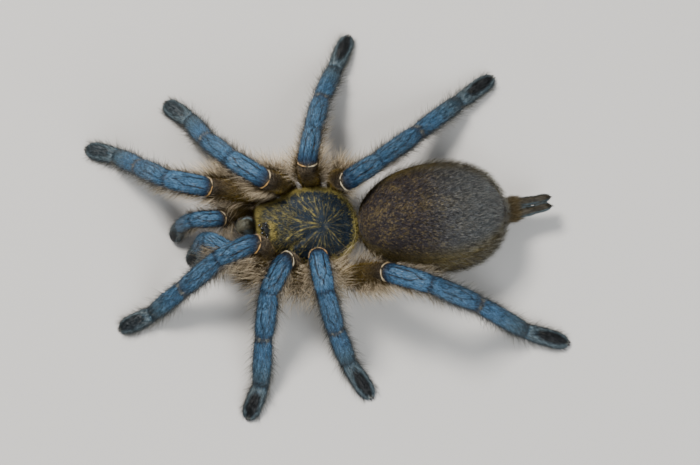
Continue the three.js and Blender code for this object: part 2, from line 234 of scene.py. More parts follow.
def rounded_line(joints, bow, count=STOPS):
    """Points on the middle line, one row for each segment; bow pushes the femur out to the side."""
    rows = []
    last = len(joints) - 2
    for i in range(last + 1):
        head = [joints[0]] if i == 0 else curve_through(*joints[i - 1:i + 2], np.linspace(0.5, 1, 5))
        tail = [joints[-1]] if i == last else curve_through(*joints[i:i + 3], np.linspace(0, 0.5, 5))
        rows.append(resample(np.vstack([head, tail]), count))
    rows[FEMUR][:, 0] += bow * np.sin(np.linspace(0, math.pi, count))
    return np.array(rows)


def distances(points, line):
    """How far each point is from the line, and which segment is nearest."""
    path = line.reshape(-1, 3)
    start, step = path[:-1], np.diff(path, axis=0)
    length = np.maximum((step ** 2).sum(1), 1e-9)
    t = np.clip(np.einsum("psk,sk->ps", points[:, None] - start, step) / length, 0, 1)
    gap = np.linalg.norm(points[:, None] - (start + t[..., None] * step), axis=2)
    nearest = gap.argmin(1)
    return gap.min(1), nearest // line.shape[1]


def parting(a, b):
    """The middle of the narrow gap between two solids that meet end to end."""
    gap = np.linalg.norm(a[:, None] - b[None], axis=2)
    limit = gap.min() + 0.35
    return (a[gap.min(1) < limit].mean(0) + b[gap.min(0) < limit].mean(0)) / 2


def fit_limb(name):
    """A limb's middle line, its mean radii, its side of the body and how well the line fits."""
    solids = [cad_mesh(f"{name}_{piece}")[0] for piece in PIECES]
    femur, foot = solids[0], solids[-1]
    side = HANDS[name.split("_")[1]]
    root = femur[np.linalg.norm(femur - middle("sternum"), axis=1).argsort()[:10]].mean(0)
    cuts = [parting(a, b) for a, b in zip(solids, solids[1:])]
    tip = foot[np.linalg.norm(foot - cuts[-1], axis=1).argsort()[-10:]].mean(0)
    wrist = [] if name.startswith("palp") else [cuts[-1] * WRIST[0] + tip * WRIST[1]]
    joints = [root, root + (HIP_OUT * side, 0, HIP_UP), *cuts, *wrist, tip]
    walls = np.vstack(solids)
    for end in [root, *cuts, tip]:
        walls = walls[np.linalg.norm(walls - end, axis=1) > NEAR_JOINT]
    walls = walls[walls[:, 2] > 0.01]

    def unevenness(values):
        line = rounded_line(values[:-1].reshape(-1, 3), values[-1])
        gap, segment = distances(walls, line)
        for i in range(len(line)):
            if (segment == i).any():
                gap[segment == i] -= gap[segment == i].mean()
        slips = [line[0, 0] - root, line[-1, -1] - tip]
        slips += [JOINT_WEIGHT * (line[i, -1] - cut) for i, cut in zip((FEMUR, PATELLA, TIBIA), cuts)]
        return np.concatenate([gap, *slips])

    values = np.append(np.concatenate(joints), 0.0)
    nudges = np.eye(len(values)) * NUDGE
    for _ in range(FIT_STEPS):
        now = unevenness(values)
        table = np.stack([(unevenness(values + nudge) - now) / NUDGE for nudge in nudges], axis=1)
        values = values + np.linalg.solve(table.T @ table + CAUTION * np.eye(len(values)), -table.T @ now)
    line = rounded_line(values[:-1].reshape(-1, 3), values[-1], FINE_STOPS)
    gap, segment = distances(walls, line)
    radii = [float(gap[segment == i].mean()) for i in range(len(line))]
    error = float(np.sqrt((unevenness(values) ** 2).mean()))
    return {"line": line, "radii": radii, "side": side, "error": error}


limbs = {name: fit_limb(name) for name in LIMBS}
for name, limb in limbs.items():
    print(name, "radii", [round(r, 2) for r in limb["radii"]], "fit within", round(limb["error"], 3), "mm")

# %% [markdown]
# ## Grids: one way to describe every part of the body
#
# Every part of the spider is described as a grid of points, with rows along the part and columns round it. A
# grid is easy to shape, and each of its points knows where it is: how far along, on which side, and which way
# the hair lies there. The skin is later melted together from all the grids, and the hair is planted on them,
# so that markings run on from skin to hair.

# %% Grids and limb tubes
COLUMNS = 40
LONG_COAT, SHORT_COAT = 0.28, 0.13    # how far the skin lies inside the solid, in mm
FLOOR_GAP = 0.12                      # how high a limb's grid stays above the floor

# For each segment: width at its start, middle and end against its mean, how tall it is for its width, and how
# far the joint at its end is drawn in.
SEGMENT_SHAPES = {
    COXA: (0.86, 1.02, 1.00, 0.92, 0.02),
    FEMUR: (0.88, 1.06, 1.00, 1.06, 0.03),
    PATELLA: (1.00, 1.04, 0.98, 0.96, 0.07),
    TIBIA: (1.00, 1.05, 0.96, 0.96, 0.09),
    METATARSUS: (0.98, 1.06, 0.95, 0.88, 0.06),
    TARSUS: (0.95, 1.08, 0.92, 0.68, 0.0),
}
ZONES = ["limb", "abdomen", "trunk", "chelicera", "spinneret"]
grids = {}


def turns(count):
    """Evenly spaced angles once round."""
    return np.linspace(0, 2 * math.pi, count, endpoint=False)


def soft_step(value, low, high):
    """0 below low, 1 above high, and a smooth slope between."""
    t = np.clip((value - low) / (high - low), 0, 1)
    return t * t * (3 - 2 * t)


def facing_out(points):
    """Unit normals of a grid of points, all pointing outwards."""
    rows = np.gradient(points, axis=0)
    around = np.concatenate([points[:, -1:], points, points[:, :1]], axis=1)
    columns = (around[:, 2:] - around[:, :-2]) / 2
    normals = unit(np.cross(rows, columns))
    centre = points.mean(axis=1, keepdims=True)
    if ((points - centre) * normals).sum() < 0:
        normals = -normals
    for end, inner in ((0, 1), (-1, -2)):
        weak = np.linalg.norm(columns[end], axis=1) < 1e-3
        normals[end][weak] = normals[inner][weak]
    return normals


def add_grid(name, zone, points, along, angle):
    """Keep a grid under a name. along is a number for each row, angle one for each column, with 0 on top."""
    normals = facing_out(points)
    down = np.gradient(points, axis=0)
    lie = unit(down - (down * normals).sum(-1, keepdims=True) * normals)
    along = np.broadcast_to(np.asarray(along)[:, None], points.shape[:2])
    angle = np.broadcast_to(np.asarray(angle)[None], points.shape[:2])
    spacing = np.maximum(np.linalg.norm(down, axis=-1), 0.02)
    radius = np.linalg.norm(points - points.mean(axis=1, keepdims=True), axis=-1)
    grids[name] = {
        "zone": zone, "points": points, "normals": normals, "lie": lie, "along": along, "angle": angle,
        "spacing": spacing, "length": np.cumsum(spacing, axis=0), "radius": np.maximum(radius, 0.15),
    }


def limb_frames(centres):
    """For every station of a limb: along it, across it, and up out of its back."""
    along = unit(np.gradient(centres, axis=0))
    across = unit(np.cross(along, (0.0, 0.0, 1.0)))
    knee = int(np.argmax(centres[:, 2] > centres[:, 2].max() - 0.4))
    for i in range(knee, -1, -1):
        across[i] = unit(across[i + 1] - (across[i + 1] @ along[i]) * along[i])
    return along, across, np.cross(across, along)


def profile(shape, t):
    """Half width along a segment: a soft swelling between its start, middle and end."""
    start, centre, end = shape[:3]
    edge = np.where(t < 0.5, start, end)
    return edge + (centre - edge) * np.sin(math.pi * t)


def limb_tube(name, limb):
    """The grid of one limb: rings round its middle line."""
    line = limb["line"]
    kinds = list(SEGMENT_SHAPES)
    if len(line) < len(kinds):
        kinds.remove(METATARSUS)      # a palp has none
    centres, position, wide, tall = [], [], [], []
    for kind, row, radius in zip(kinds, line, limb["radii"]):
        t = np.linspace(0, 1, len(row))
        shape = SEGMENT_SHAPES[kind]
        depth = LONG_COAT if kind < PATELLA else SHORT_COAT
        width = radius * 2 / (1 + shape[3]) * profile(shape, t) - depth
        width *= 1 - shape[4] * np.exp(-((1 - t) * len(row) / 3.0) ** 2)
        if kind > FEMUR:
            width *= 1 - 0.05 * np.exp(-(t * len(row) / 3.0) ** 2)
        if kind == TARSUS:
            width *= np.sqrt(np.clip(1 - np.clip((t - 0.72) / 0.29, 0, 1) ** 2, 0.003, 1))
        whole = slice(None) if kind == TARSUS else slice(0, -1)
        for values, more in zip((centres, position, wide, tall), (row, kind + t, width, width * shape[3])):
            values.append(more[whole])
    centres, position, wide, tall = [np.concatenate(x) for x in (centres, position, wide, tall)]
    kernel = np.array([1, 2, 3, 2, 1]) / 9
    for values in (wide, tall):
        values[2:-2] = np.convolve(values, kernel, "valid")
    along, across, up = limb_frames(centres)
    angle = turns(COLUMNS)
    sideways = limb["side"] * across[:, None] * np.sin(angle)[None, :, None] * wide[:, None, None]
    upward = up[:, None] * np.cos(angle)[None, :, None] * tall[:, None, None]
    points = centres[:, None] + sideways + upward
    points[..., 2] = np.maximum(points[..., 2], FLOOR_GAP)
    add_grid(name, "limb", points, position, angle)
    grids[name].update(centres=centres, along_line=along, up=up)


for name, limb in limbs.items():
    limb_tube(name, limb)
print("limb grids:", len(grids), "of", grids["leg1_left"]["points"].shape[:2])

# %% [markdown]
# ## The body: grids wrapped onto the solids
#
# The abdomen, chelicerae and sternum are rounded lumps. Each gets a grid like the lines of a globe: rays run
# out from the middle of the solid, and the place where each one leaves the solid becomes a point. The solids
# have flat facets, so the distances are averaged with their neighbours until the facets are gone, and then
# the whole grid is drawn in by the depth of the coat.

# %% Wrap globes round the lumps
def solid_tree(node, turned=None):
    """A search tree of a solid, for rays."""
    corners, faces = cad_mesh(node)
    corners = corners if turned is None else turned(corners)
    return BVHTree.FromPolygons([Vector(p) for p in corners], faces.tolist())


def soften(values, times):
    """Average a grid with its neighbours; its columns run round, its first and last rows are poles."""
    for _ in range(times):
        around = (np.roll(values, 1, axis=1) + np.roll(values, -1, axis=1)) / 2
        padded = np.concatenate([values[:1], values, values[-1:]])
        beside = (padded[2:] + padded[:-2]) / 2
        values = (values * 2 + around + beside) / 4
        values[0] = values[0].mean(axis=0)
        values[-1] = values[-1].mean(axis=0)
    return values


def rays_round(polar, around):
    """Unit rays like the lines of a globe, from its front pole to its rear pole, with angle 0 on top."""
    polar, around = polar[:, None], around[None]
    axes = np.sin(polar) * np.sin(around), -np.cos(polar), np.sin(polar) * np.cos(around)
    return np.stack(np.broadcast_arrays(*axes), axis=-1)


def globe(zone, node, depth, rows=48, columns=64, times=10):
    """A grid wrapped onto a lump and drawn in by the depth of its coat."""
    tree = solid_tree(node)
    centre = middle(node)
    polar = np.linspace(0, math.pi, rows)
    rays = rays_round(polar, turns(columns))
    reach = np.array([[tree.ray_cast(Vector(centre), Vector(ray))[3] or 0 for ray in row] for row in rays])
    points = centre + rays * soften(reach, times)[..., None]
    points = points - facing_out(points) * depth
    points[..., 2] = np.maximum(points[..., 2], 0.1)
    add_grid(node, zone, points, polar / math.pi, turns(columns))


globe("abdomen", "abdomen", 0.45, rows=72, columns=96, times=24)
globe("chelicera", "chelicera_right", 0.2)
globe("chelicera", "chelicera_left", 0.2)
globe("trunk", "sternum", 0.2)
belly_points = grids["abdomen"]["points"]
print("abdomen grid from", belly_points.min((0, 1)).round(1), "to", belly_points.max((0, 1)).round(1))

# %% [markdown]
# ## Waist, trunk and spinnerets
#
# Between the coxae lies the soft trunk, which the carapace covers. It is only glimpsed between the legs, so a
# flattened egg is enough. The waist is a short tube into the abdomen. The two long spinnerets have three
# joints each, and two tiny ones sit between them.

# %% Waist, trunk and spinnerets
TRUNK = {"half": (5.2, 8.0, 2.15), "ahead": 3.6, "height": 5.1}
FOVEA_BEHIND = 3.1                    # from the middle of the carapace back to its pit
EYE_KINDS = ("front_median", "front_lateral", "rear_lateral", "rear_median")
EYES = [f"eye_{kind}_{hand}" for kind in EYE_KINDS for hand in HANDS]
knob_middle = np.mean([middle(node) for node in EYES], axis=0)
across_head = unit(middle("eye_front_lateral_left") - middle("eye_front_lateral_right"))
lean = math.atan2(-across_head[2], across_head[0])
LEAN = np.array([[math.cos(lean), 0, math.sin(lean)], [0, 1, 0], [-math.sin(lean), 0, math.cos(lean)]])


def leaned(points):
    """From an upright carapace to the one of the solids, which leans over."""
    return knob_middle + (points - knob_middle) @ LEAN.T


def levelled(points):
    """The other way round."""
    return knob_middle + (points - knob_middle) @ LEAN


def tube(name, zone, start, end, radii, columns=24):
    """A straight grid from start to end with evenly spaced radii and closed, rounded ends."""
    stations = np.linspace(0, 1, len(radii))
    t = np.linspace(0, 1, 6 * len(radii))
    radius = np.interp(t, stations, radii)
    centres = start + (end - start) * t[:, None]
    along = unit(end - start)
    across = unit(np.cross(along, (0.0, 0.0, 1.0)))
    up = np.cross(across, along)
    angle = turns(columns)
    ring = across * np.sin(angle)[:, None] + up * np.cos(angle)[:, None]
    add_grid(name, zone, centres[:, None] + ring[None] * radius[:, None, None], t, angle)


fovea = np.array([knob_middle[0], middle("carapace")[1] + FOVEA_BEHIND, 0.0])
trunk_middle = np.array([middle("sternum")[0], fovea[1] - TRUNK["ahead"], TRUNK["height"]])
polar = np.linspace(0.02, math.pi - 0.02, 30)
egg = rays_round(polar, turns(48)) * TRUNK["half"]
add_grid("trunk", "trunk", trunk_middle + egg @ LEAN.T, polar / math.pi, turns(48))
print("the carapace leans by", round(math.degrees(lean), 1), "degrees")

front, rear = ends("waist")
stretch = unit(rear - front)
tube("waist", "trunk", front - stretch, rear + 1.6 * stretch, [0.7, 0.8, 0.75, 0.8, 0.7])

SHORT_FINGER = [0.0, 0.42, 0.4, 0.34, 0.0]
FINGER = [0.0, 0.95, 1.05, 1.05, 1.0, 0.82, 0.84, 0.84, 0.80, 0.74, 0.78, 0.78, 0.62, 0.0]
for hand, side in HANDS.items():
    base, tip = ends(f"spinneret_{hand}")
    stretch = unit(tip - base)
    tube(f"spinneret_{hand}", "spinneret", base - stretch * 1.2, tip + stretch * 0.05, FINGER)
    short = base + np.array([side * -0.15, 0.3, -1.45])
    tube(f"short_spinneret_{hand}", "spinneret", short, short + (side * -0.15, 2.0, -0.1), SHORT_FINGER)
print("grids in all:", len(grids))

# %% [markdown]
# ## One skin
#
# All the soft and leathery parts are melted into one closed surface, so that no seam shows where a leg meets
# the body. A voxel remesh does this: it fills the grids with tiny cubes and wraps them anew. It forgets which
# part each place came from, so every corner of the new skin looks up the nearest grid point and takes over
# its notes. A Boolean union would keep the grids, but it often fails where many of them cross.

# %% Melt the grids into one skin
VOXEL = 0.30                          # the size of the cubes in mm; the clay is melted 1000 times too large
LAYER = 7.0                           # parts the noise of one zone from that of the next


def make_object(name, points, triangles):
    """A mesh object from points in millimetres and triangles."""
    mesh = bpy.data.meshes.new(name)
    mesh.vertices.add(len(points))
    mesh.vertices.foreach_set("co", (np.asarray(points) * MM).ravel())
    mesh.loops.add(len(triangles) * 3)
    mesh.loops.foreach_set("vertex_index", np.asarray(triangles, np.int32).ravel())
    mesh.polygons.add(len(triangles))
    mesh.polygons.foreach_set("loop_start", np.arange(0, len(triangles) * 3, 3, dtype=np.int32))
    mesh.polygons.foreach_set("use_smooth", np.ones(len(triangles), bool))
    mesh.update(calc_edges=True)
    return link(bpy.data.objects.new(name, mesh))


def set_number(obj, name, values):
    """A note with one number for each corner, which the materials can read."""
    values = np.asarray(values, np.float32)
    obj.data.attributes.new(name, "FLOAT", "POINT").data.foreach_set("value", values)


def set_vector(obj, name, values):
    """A note with three numbers for each corner."""
    values = np.asarray(values, np.float32).ravel()
    obj.data.attributes.new(name, "FLOAT_VECTOR", "POINT").data.foreach_set("vector", values)


def outward(points, triangles):
    """Turn all triangles over if the closed surface is inside out."""
    a, b, c = (points[triangles[:, i]] for i in range(3))
    volume = np.einsum("ij,ij->i", a, np.cross(b, c)).sum()
    return triangles if volume > 0 else triangles[:, ::-1]


def closed_grid(points):
    """Corners and triangles of a grid whose first and last rows are closed with fans."""
    rows, columns = points.shape[:2]
    corners = np.vstack([points.reshape(-1, 3), points[0].mean(0), points[-1].mean(0)])
    i, j = np.meshgrid(np.arange(rows - 1), np.arange(columns), indexing="ij")
    k = (j + 1) % columns
    a, b, c, d = i * columns + j, i * columns + k, (i + 1) * columns + k, (i + 1) * columns + j
    walls = np.concatenate([np.stack([a, b, c], -1), np.stack([a, c, d], -1)]).reshape(-1, 3)
    column = np.arange(columns)
    ahead = (column + 1) % columns
    first = np.stack([np.full(columns, rows * columns), ahead, column], -1)
    base = (rows - 1) * columns
    last = np.stack([np.full(columns, rows * columns + 1), base + column, base + ahead], -1)
    return corners, outward(corners, np.vstack([walls, first, last]))


def together(surfaces):
    """Many surfaces, each with corners and triangles, as one."""
    corners, triangles, count = [], [], 0
    for points, faces in surfaces:
        corners.append(points)
        triangles.append(faces + count)
        count += len(points)
    return np.vstack(corners), np.vstack(triangles)


corners, triangles = together(closed_grid(grid["points"]) for grid in grids.values())
clay = make_object("clay", corners / MM, triangles)
remesh = clay.modifiers.new("melt", "REMESH")
remesh.mode = "VOXEL"
remesh.voxel_size = VOXEL
smooth = clay.modifiers.new("smooth", "SMOOTH")
smooth.factor = 0.5
smooth.iterations = 4
bpy.context.view_layer.update()
melted = bpy.data.meshes.new_from_object(clay.evaluated_get(bpy.context.evaluated_depsgraph_get()))
bpy.data.objects.remove(clay)
melted.transform(((MM, 0, 0, 0), (0, MM, 0, 0), (0, 0, MM, 0), (0, 0, 0, 1)))
skin = link(bpy.data.objects.new("skin", melted))
skin.data.polygons.foreach_set("use_smooth", np.ones(len(melted.polygons), bool))
print("skin:", len(melted.polygons), "faces")

# %% [markdown]
# Each corner of the skin now looks up its nearest grid point. To keep rings and stripes sharp, the small step
# from that grid point to the corner is measured along and round the limb and added to the notes.

# %% Carry the notes over to the skin
def grid_notes(grid):
    """Everything a grid knows at each of its points, as flat lists."""
    points = grid["points"]
    rows = np.gradient(points, axis=0)
    per_mm = np.gradient(grid["along"], axis=0) / grid["spacing"]
    round_dir = np.roll(points, -1, axis=1) - np.roll(points, 1, axis=1)
    notes = {key: grid[key].ravel() for key in ("along", "angle", "radius", "length")}
    notes["points"], notes["per_mm"] = points.reshape(-1, 3), per_mm.ravel()
    notes["lie"], notes["round"] = unit(rows).reshape(-1, 3), unit(round_dir).reshape(-1, 3)
    notes["zone"] = np.full(per_mm.size, ZONES.index(grid["zone"]))
    return notes


notes = [grid_notes(grid) for grid in grids.values()]
notes = {key: np.concatenate([note[key] for note in notes]) for key in notes[0]}
grid_tree = KDTree(len(notes["points"]))
for i, point in enumerate(notes["points"]):
    grid_tree.insert(point, i)
grid_tree.balance()
skin_points = read(melted.vertices, "co", 3) / MM
nearest = np.array([grid_tree.find(point)[1] for point in skin_points])
step = skin_points - notes["points"][nearest]
ahead = (step * notes["lie"][nearest]).sum(1)
beside = (step * notes["round"][nearest]).sum(1)
skin_along = notes["along"][nearest] + ahead * notes["per_mm"][nearest]
skin_angle = notes["angle"][nearest] + beside / notes["radius"][nearest]
skin_zone = notes["zone"][nearest]
grain = [notes["length"][nearest] + ahead, skin_angle * notes["radius"][nearest], skin_zone * LAYER]
set_number(skin, "along", skin_along)
set_number(skin, "crown", np.cos(skin_angle))
set_number(skin, "flank", np.sin(skin_angle))
set_vector(skin, "grain", np.stack(grain, axis=1))
set_vector(skin, "place", skin_points)
face_corners = read(melted.loops, "vertex_index", kind=np.int32)
first_corners = face_corners[read(melted.polygons, "loop_start", kind=np.int32)]
melted.polygons.foreach_set("material_index", skin_zone[first_corners].astype(np.int32))

FLESH = [f"{limb}_{piece}" for limb in LIMBS for piece in PIECES]
FLESH += ["abdomen", "sternum", "waist"]
FLESH += [f"{piece}_{hand}" for piece in ("chelicera", "spinneret") for hand in HANDS]
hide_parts(*FLESH)
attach(skin, "root")
skin_faces = [list(face.vertices) for face in melted.polygons]
skin_tree = BVHTree.FromPolygons([Vector(p) for p in skin_points], skin_faces)
print("notes carried over to", len(skin_points), "corners")

# %% [markdown]
# ## The carapace
#
# The carapace is a hard plate over the legs' muscles, and it stays a piece of its own. Furrows run out from
# the pit in its middle, the fovea, where muscles hold on inside, and golden hair grows along them. So it is
# made as a grid in rays round the fovea. Heights are felt with rays from above, and the furrows and the
# golden lines both come from one list of rays, so that hair and relief agree.

# %% Shape the carapace in rays round the fovea
RAYS = [
    # degrees from straight ahead, strength, half width in mm, start and end as a share of the way out
    (13, 1.0, 0.17, 0.05, 0.74), (19, 0.40, 0.10, 0.30, 0.66), (31, 0.35, 0.10, 0.42, 0.88),
    (43, 0.75, 0.13, 0.17, 0.74), (51, 0.35, 0.09, 0.34, 0.86), (61, 0.40, 0.10, 0.20, 0.66),
    (72, 0.60, 0.12, 0.24, 0.82), (81, 0.30, 0.09, 0.38, 0.88), (91, 0.35, 0.10, 0.18, 0.62),
    (103, 0.45, 0.11, 0.14, 0.78), (113, 0.30, 0.09, 0.36, 0.84), (123, 0.40, 0.10, 0.16, 0.66),
    (137, 0.75, 0.13, 0.10, 0.82), (149, 0.35, 0.09, 0.24, 0.74), (162, 0.35, 0.10, 0.14, 0.70),
    (176, 0.25, 0.09, 0.24, 0.66), (5, 0.30, 0.09, 0.22, 0.70),
]
RAY_AXIS = math.radians(-5)           # the pattern's own axis against the body's
RAY_SIDES = {RIGHT: random.normal(0, 1, (len(RAYS), 3)), LEFT: random.normal(0, 1, (len(RAYS), 3))}
LYRE = 13                             # by how many degrees the strong pair bends out towards the head
FAR = 25                              # well outside the carapace, in mm
RIM_ABOVE = 0.3                       # how high the margin lies above the lowest corner of the solid
SHELL_THICKNESS = 0.5
SHELL_COAT = 0.12
UNDER_SHARE = 0.96                    # how far out the underside reaches
CARAPACE_ROWS, CARAPACE_COLUMNS = 64, 256

shell_tree = solid_tree("carapace", levelled)
rim = levelled(cad_mesh("carapace")[0])[:, 2].min() + RIM_ABOVE
plate_angle = turns(CARAPACE_COLUMNS)
heading = np.stack([np.sin(plate_angle), -np.cos(plate_angle), np.zeros_like(plate_angle)], axis=1)
pit = np.array([fovea[0], fovea[1], rim])
edge = np.array([shell_tree.ray_cast(Vector(pit + ray * FAR), Vector(-ray))[3] for ray in heading])
outline = FAR - edge
outline = np.convolve(np.concatenate([outline[-2:], outline, outline[:2]]), np.ones(5) / 5, "valid")
plate_share = np.linspace(0, 1, CARAPACE_ROWS)


def turn_from_axis(angle):
    """An angle against the pattern's own axis, between half a turn to the left and to the right."""
    return (angle - RAY_AXIS + math.pi) % (2 * math.pi) - math.pi


def gold_lines(share, angle, outline):
    """How golden the carapace is: 1 on the strong lines, 0 on the bare dark field."""
    turn = turn_from_axis(angle)
    reach = share * outline
    gold = np.zeros(np.broadcast(share, angle).shape)
    for side, changes in RAY_SIDES.items():
        for (degrees, strength, width, start, end), (swerve, more, phase) in zip(RAYS, changes):
            lean = degrees + 1.8 * swerve + 1.5 * np.sin(9 * share + 3 * phase)
            lean = np.radians(lean + LYRE * (degrees < 20) * np.clip((share - 0.3) / 0.5, 0, 1) ** 1.5)
            away = turn - side * lean
            gap = reach * np.abs(np.sin(away)) + 4.0 * (np.cos(away) < 0)
            span = np.clip((share - start) / 0.08, 0, 1)
            span = span * np.clip((end + 0.16 + 0.03 * more - share) / 0.3, 0, 1)
            broken = 0.70 + 0.30 * np.sin(29 * share + 7 * phase)
            line = strength * (1 + 0.12 * more) * span * broken * np.exp(-(gap / width) ** 2)
            gold = np.maximum(gold, np.clip(line, 0, 1))
    return gold


def rays_relief(share, angle, outline):
    """Furrows between the rays, the fovea and the two grooves that set off the head, in mm."""
    turn = turn_from_axis(angle)
    reach = share * outline
    relief = 0.14 * gold_lines(share, angle, outline)
    neck = reach * np.abs(np.sin(np.abs(turn) - math.radians(33)))
    relief = relief - 0.28 * np.exp(-(neck / 0.55) ** 2) * np.clip(share / 0.2, 0, 1) * (np.abs(turn) < 1.3)
    relief = relief - 0.55 * np.exp(-(reach / 0.75) ** 2)
    return relief * np.clip((1 - share) / 0.12, 0, 1)


def height_at(x, y):
    """How high the solid stands here, felt with a ray from above."""
    hit = shell_tree.ray_cast(Vector((x, y, 30)), Vector((0, 0, -1)))[0]
    return rim if hit is None else hit[2]


plate_place = plate_share[:, None], plate_angle[None], outline[None]
spot = pit + heading[None] * (plate_share * 0.985)[:, None, None] * outline[None, :, None]
height = np.array([[height_at(x, y) for x, y, _ in row] for row in spot])
height[0] = height[0].mean()
height = soften(height, 7)
height[-1] = rim
height += rays_relief(*plate_place) - SHELL_COAT
upper = np.concatenate([spot[..., :2], height[..., None]], axis=-1)
under = upper.copy()
under[..., :2] = pit[:2] + (upper[..., :2] - pit[:2]) * UNDER_SHARE
under[..., 2] -= SHELL_THICKNESS
shell_grid = leaned(np.concatenate([upper, under[::-1]]))
shell_points, shell_faces = closed_grid(shell_grid)
carapace = make_object("carapace_shell", shell_points, shell_faces)
gold = gold_lines(*plate_place)
print("carapace:", len(shell_faces), "triangles, top at", round(float(height.max()), 2), "mm")

# %% [markdown]
# The shell carries its own notes: how golden each place is, how far out it lies towards the margin, and the
# grain along which its hair lies. The underside of the plate takes over the notes of the top.

# %% Notes for the carapace
def there_and_back(values):
    """Values for the top grid, then mirrored for the underside, with the two closing corners."""
    values = np.concatenate([values, values[::-1]])
    return np.append(values.ravel(), [values[0, 0], values[-1, 0]])


KNOB_HALF = (1.85, 1.55)
PLATE_RADIUS = 4.0                    # turns angles on the plate into the width of its grain, in mm
PLATE_LAYER = 60.0                    # parts its noise from that of all other zones
gap = np.linalg.norm((upper[..., :2] - knob_middle[:2]) / KNOB_HALF, axis=-1)
knob = 1 - soft_step(gap, 0.88, 1.12)
margin = np.broadcast_to(plate_share[:, None], gold.shape)
turn = np.broadcast_to(plate_angle[None], gold.shape)
for name, values in {"knob": knob, "gold": gold, "margin": margin, "crown": np.cos(turn)}.items():
    set_number(carapace, name, there_and_back(values))
plate_grain = margin * outline[None], turn * PLATE_RADIUS, margin * 0 + PLATE_LAYER
set_vector(carapace, "grain", np.stack([there_and_back(values) for values in plate_grain], axis=1))
set_vector(carapace, "place", shell_points)
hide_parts("carapace")
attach(carapace, "root")
print("gold on the carapace:", round(float(gold.mean()), 3), "on average")

# %% [markdown]
# ## Materials
#
# Skin and hair must carry the same markings, so the markings are node groups that both use. Each group takes
# the notes as inputs and gives a colour. The Principled shaders stay in the materials. A small helper keeps
# the node code short; drawing the nodes by hand would give the same tree.

# %% A helper for node trees
class Sketch:
    """Adds nodes to one tree with short calls."""

    def __init__(self, tree):
        self.tree = tree

    def add(self, kind, inputs=(), **settings):
        """A new node; each input is either linked or set."""
        node = self.tree.nodes.new(kind)
        node.location = (220 * (len(self.tree.nodes) % 12), -180 * (len(self.tree.nodes) // 12))
        for key, value in settings.items():
            setattr(node, key, value)
        for key, value in dict(inputs).items():
            if isinstance(value, bpy.types.NodeSocket):
                self.tree.links.new(value, node.inputs[key])
            else:
                node.inputs[key].default_value = value
        return node

    def note(self, name, output="Fac"):
        """Read one of the notes that the mesh carries."""
        return self.add("ShaderNodeAttribute", attribute_name=name).outputs[output]

    def math(self, operation, *values, clamp=False):
        inputs = dict(enumerate(values))
        return self.add("ShaderNodeMath", inputs, operation=operation, use_clamp=clamp).outputs[0]

    def times(self, first, *others):
        for other in others:
            first = self.math("MULTIPLY", first, other)
        return first

    def plus(self, a, b):
        return self.math("ADD", a, b)

    def minus(self, a, b):
        return self.math("SUBTRACT", a, b)

    def size(self, value):
        return self.math("ABSOLUTE", value)

    def between(self, value, low, high, out_low=0.0, out_high=1.0):
        """Map low..high to out_low..out_high with soft ends."""
        inputs = {"Value": value, "From Min": low, "From Max": high, "To Min": out_low, "To Max": out_high}
        return self.add("ShaderNodeMapRange", inputs, interpolation_type="SMOOTHSTEP").outputs["Result"]

    def mix(self, factor, a, b):
        """From colour a to colour b."""
        a, b = [(*c, 1) if isinstance(c, tuple) else c for c in (a, b)]
        return self.add("ShaderNodeMix", {0: factor, 6: a, 7: b}, data_type="RGBA").outputs[2]

    def ramp(self, factor, stops):
        """A colour for each stop along 0..1."""
        node = self.add("ShaderNodeValToRGB", {"Fac": factor})
        elements = node.color_ramp.elements
        while len(elements) < len(stops):
            elements.new(0.5)
        for element, (position, colour) in zip(elements, stops):
            element.position = position
            element.color = (*colour, 1)
        return node.outputs["Color"]

    def noise(self, vector, scale, detail=2.0, roughness=0.5):
        """Soft blotches from 0 to 1."""
        inputs = {"Vector": vector, "Scale": scale, "Detail": detail, "Roughness": roughness}
        return self.add("ShaderNodeTexNoise", inputs).outputs["Fac"]


def new_group(name, inputs, outputs):
    """An empty node group with named sockets, its sketch, and its input and output nodes."""
    tree = bpy.data.node_groups.new(name, "ShaderNodeTree")
    kinds = {"number": "NodeSocketFloat", "colour": "NodeSocketColor", "vector": "NodeSocketVector"}
    for socket, kind in inputs.items():
        tree.interface.new_socket(socket, in_out="INPUT", socket_type=kinds[kind])
    for socket, kind in outputs.items():
        tree.interface.new_socket(socket, in_out="OUTPUT", socket_type=kinds[kind])
    sketch = Sketch(tree)
    return tree, sketch, sketch.add("NodeGroupInput").outputs, sketch.add("NodeGroupOutput").inputs


def use_group(sketch, tree, inputs):
    """The outputs of a node group in another tree."""
    return sketch.add("ShaderNodeGroup", inputs, node_tree=tree).outputs


def shade_out(sketch, colour, shade, gives, dark, light):
    """Lighten and darken a colour with the short fur's shade and hand it out."""
    light = sketch.between(shade, 0.0, 1.0, dark, light)
    shaded = sketch.add("ShaderNodeVectorMath", {0: colour, "Scale": light}, operation="SCALE").outputs[0]
    sketch.tree.links.new(shaded, gives["Color"])


def new_material(name):
    """A material, the sketch of its tree, and the inputs of its Principled shader."""
    material = bpy.data.materials.new(name)
    material.use_nodes = True
    sketch = Sketch(material.node_tree)
    return material, sketch, material.node_tree.nodes["Principled BSDF"].inputs


# %% [markdown]
# ### Short fur
#
# Most of a leg's hair is shorter than a millimetre and lies flat, like velvet brushed one way. At this size
# single hairs would cost far too many triangles, so they are drawn as fine streaks that run along the grain,
# as height for a Bump node and as a shade that lightens and darkens the colour.

